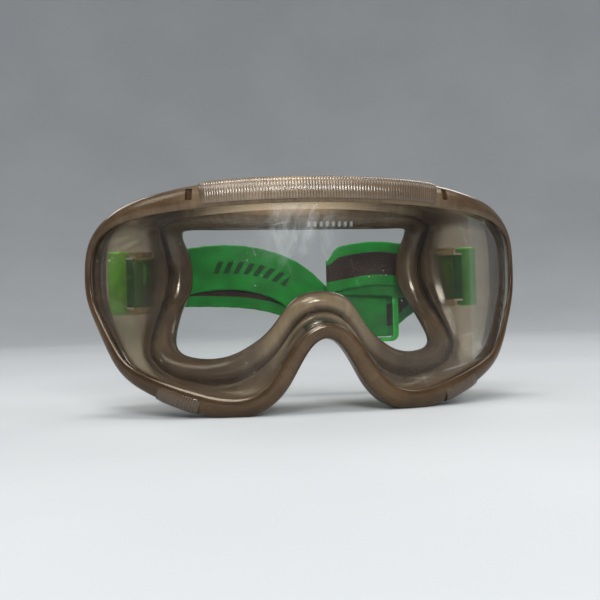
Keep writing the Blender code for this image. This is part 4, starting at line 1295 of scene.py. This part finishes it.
left_x = left_lines[0][:, 0]
left_tack = nearest(left_x, 24.2, on_front_ply[:len(left_x)])
tack("tack_right_a", 3, right_lines, 1.0, "band_right", height=15.0)
tack("tack_right_b", 7, right_lines, 1.0, "band_right", height=15.0)
tack("tack_left_a", left_tack, left_lines, -1.0, "band_left", height=14.0)
tack("tack_left_b", left_tack + 4, left_lines, -1.0, "band_left", height=14.0)


# ---- slider -------------------------------------------------------------------------
def slider_piece():
    """Rounded buckle: a passage for both layers, open in front, one bar behind."""
    front, rear = PLY_FRONT_Y - STRAP_T / 2 - 0.4, PLY_REAR_Y + STRAP_T / 2 + 0.4
    half = STRAP_W / 2 + 0.4
    side, fillet, bar, clear_of = 2.7, 1.3, 2.0, 20.0     # clear_of reaches past the ends

    def lift(p, y):
        return SLIDER_X + p[0], y, SLIDER_Z + p[1]

    def opening(x_from, x_to):
        return [(x_from, -half), (x_to, -half), (x_to, half), (x_from, half)]

    corner = [
        (SLIDER_W / 2 - side - fillet + fillet * math.cos(a), half - fillet + fillet * math.sin(a))
        for a in np.radians(np.linspace(0, 90, 7))
    ]
    window = [(x, -z) for x, z in corner[::-1]] + corner
    window += [(-clear_of, half), (-clear_of, -half)]
    block = rounded_box(SLIDER_W, SLIDER_H, 3.6, 8)
    slider = piece("slider_buckle", *prism(block, front - 2.0, rear + 1.8, lift), SLIDE)
    for name, section, y_from, y_to in (
        ("cut_window", window, front - 4.0, front),
        ("cut_passage", opening(-clear_of, clear_of), front - 0.02, rear),
        ("cut_rear_l", opening(-SLIDER_W / 2 + side, -bar), rear - 0.02, rear + 4.0),
        ("cut_rear_r", opening(bar, clear_of), rear - 0.02, rear + 4.0),
    ):
        cutter = piece(name, *prism(section, y_from, y_to, lift), SLIDE)
        combine(slider, [cutter], "DIFFERENCE")
    bevel(slider, width=0.55, segments=4, angle=35, sharp=60)
    register(slider, "slider", body="slider")


slider_piece()


# ---- stage, in metres ---------------------------------------------------------------
def stage_bowl():
    """Pale floor that curves up all round."""
    material = make_material("pale_floor", floor_look)
    flat, curve = 1.0, 0.9
    profile = [(0.0001, 0.0), (0.5, 0.0), (flat, 0.0)]      # radius, height
    profile += [
        (flat + curve * math.sin(a), curve - curve * math.cos(a))
        for a in np.radians(np.linspace(7.5, 90, 12))
    ]
    profile += [(1.9, 1.6), (1.9, 2.2)]
    rows = [[(x, y, z) for x, y in circle(radius, 96)] for radius, z in profile]
    points, faces = ring_sweep(rows, closed=False)
    mesh_object("floor", points, faces[:-1], material)      # no cap on top


def soft_light(name, place, size, watts, colour=(1.0, 0.98, 0.95)):
    """Disk light aimed at the middle of the goggles."""
    data = bpy.data.lights.new(name, "AREA")
    data.shape, data.size, data.energy, data.color = "DISK", size, watts, colour
    made = bpy.data.objects.new(name, data)
    made.location = place
    aim = Vector((0.0, 0.0, 0.045)) - Vector(place)
    made.rotation_euler = aim.to_track_quat("-Z", "Y").to_euler()
    bpy.context.scene.collection.objects.link(made)


def soft_world():
    world = bpy.data.worlds.new("soft")
    world.use_nodes = True
    background = world.node_tree.nodes["Background"]
    background.inputs["Color"].default_value = (0.98, 0.97, 0.96, 1.0)
    background.inputs["Strength"].default_value = 0.42
    bpy.context.scene.world = world
    bpy.context.scene.view_settings.view_transform = "Standard"


def add_camera(yaw, pitch, roll, distance):
    """Camera looking back at the zero point, turned by yaw, pitch and roll in radians."""
    ahead = Vector((math.sin(yaw), math.cos(yaw), 0.0))
    level = Vector((math.cos(yaw), -math.sin(yaw), 0.0))
    rise = Vector((0.0, 0.0, 1.0))
    forward = math.cos(pitch) * ahead - math.sin(pitch) * rise
    plumb = math.sin(pitch) * ahead + math.cos(pitch) * rise
    right = math.cos(roll) * level - math.sin(roll) * plumb
    upward = math.sin(roll) * level + math.cos(roll) * plumb
    eye = Vector(placed([(0.0, 0.0, 0.0)])[0]) - forward * distance
    data = bpy.data.cameras.new("camera")
    data.sensor_width, data.lens, data.shift_x = 36.0, 54.48, -0.045
    data.clip_start, data.clip_end = 0.01, 20.0
    camera = bpy.data.objects.new("camera", data)
    turned = Matrix((right, upward, -forward)).transposed().to_4x4()
    camera.matrix_world = Matrix.Translation(eye) @ turned
    bpy.context.scene.collection.objects.link(camera)
    bpy.context.scene.camera = camera


stage_bowl()
soft_light("key", (-0.22, -0.80, 0.86), size=0.50, watts=6.5)
soft_light("brow", (-0.06, -0.12, 1.00), size=0.36, watts=4.5, colour=(1.0, 0.96, 0.90))
soft_light("low_front", (0.02, -1.05, 0.44), size=0.30, watts=6.0)
soft_light("fill_left", (-0.80, -0.35, 0.95), size=0.50, watts=2.2)
soft_light("fill_right", (0.80, -0.30, 0.95), size=0.50, watts=2.2)
soft_light("back_left", (-0.60, 0.75, 0.85), size=0.50, watts=3.0)
soft_light("back_right", (0.65, 0.75, 0.85), size=0.50, watts=3.0)
soft_world()
add_camera(
    yaw=math.radians(12.8), pitch=math.radians(-0.5), roll=math.radians(1.6), distance=0.345
)

bpy.context.view_layer.update()
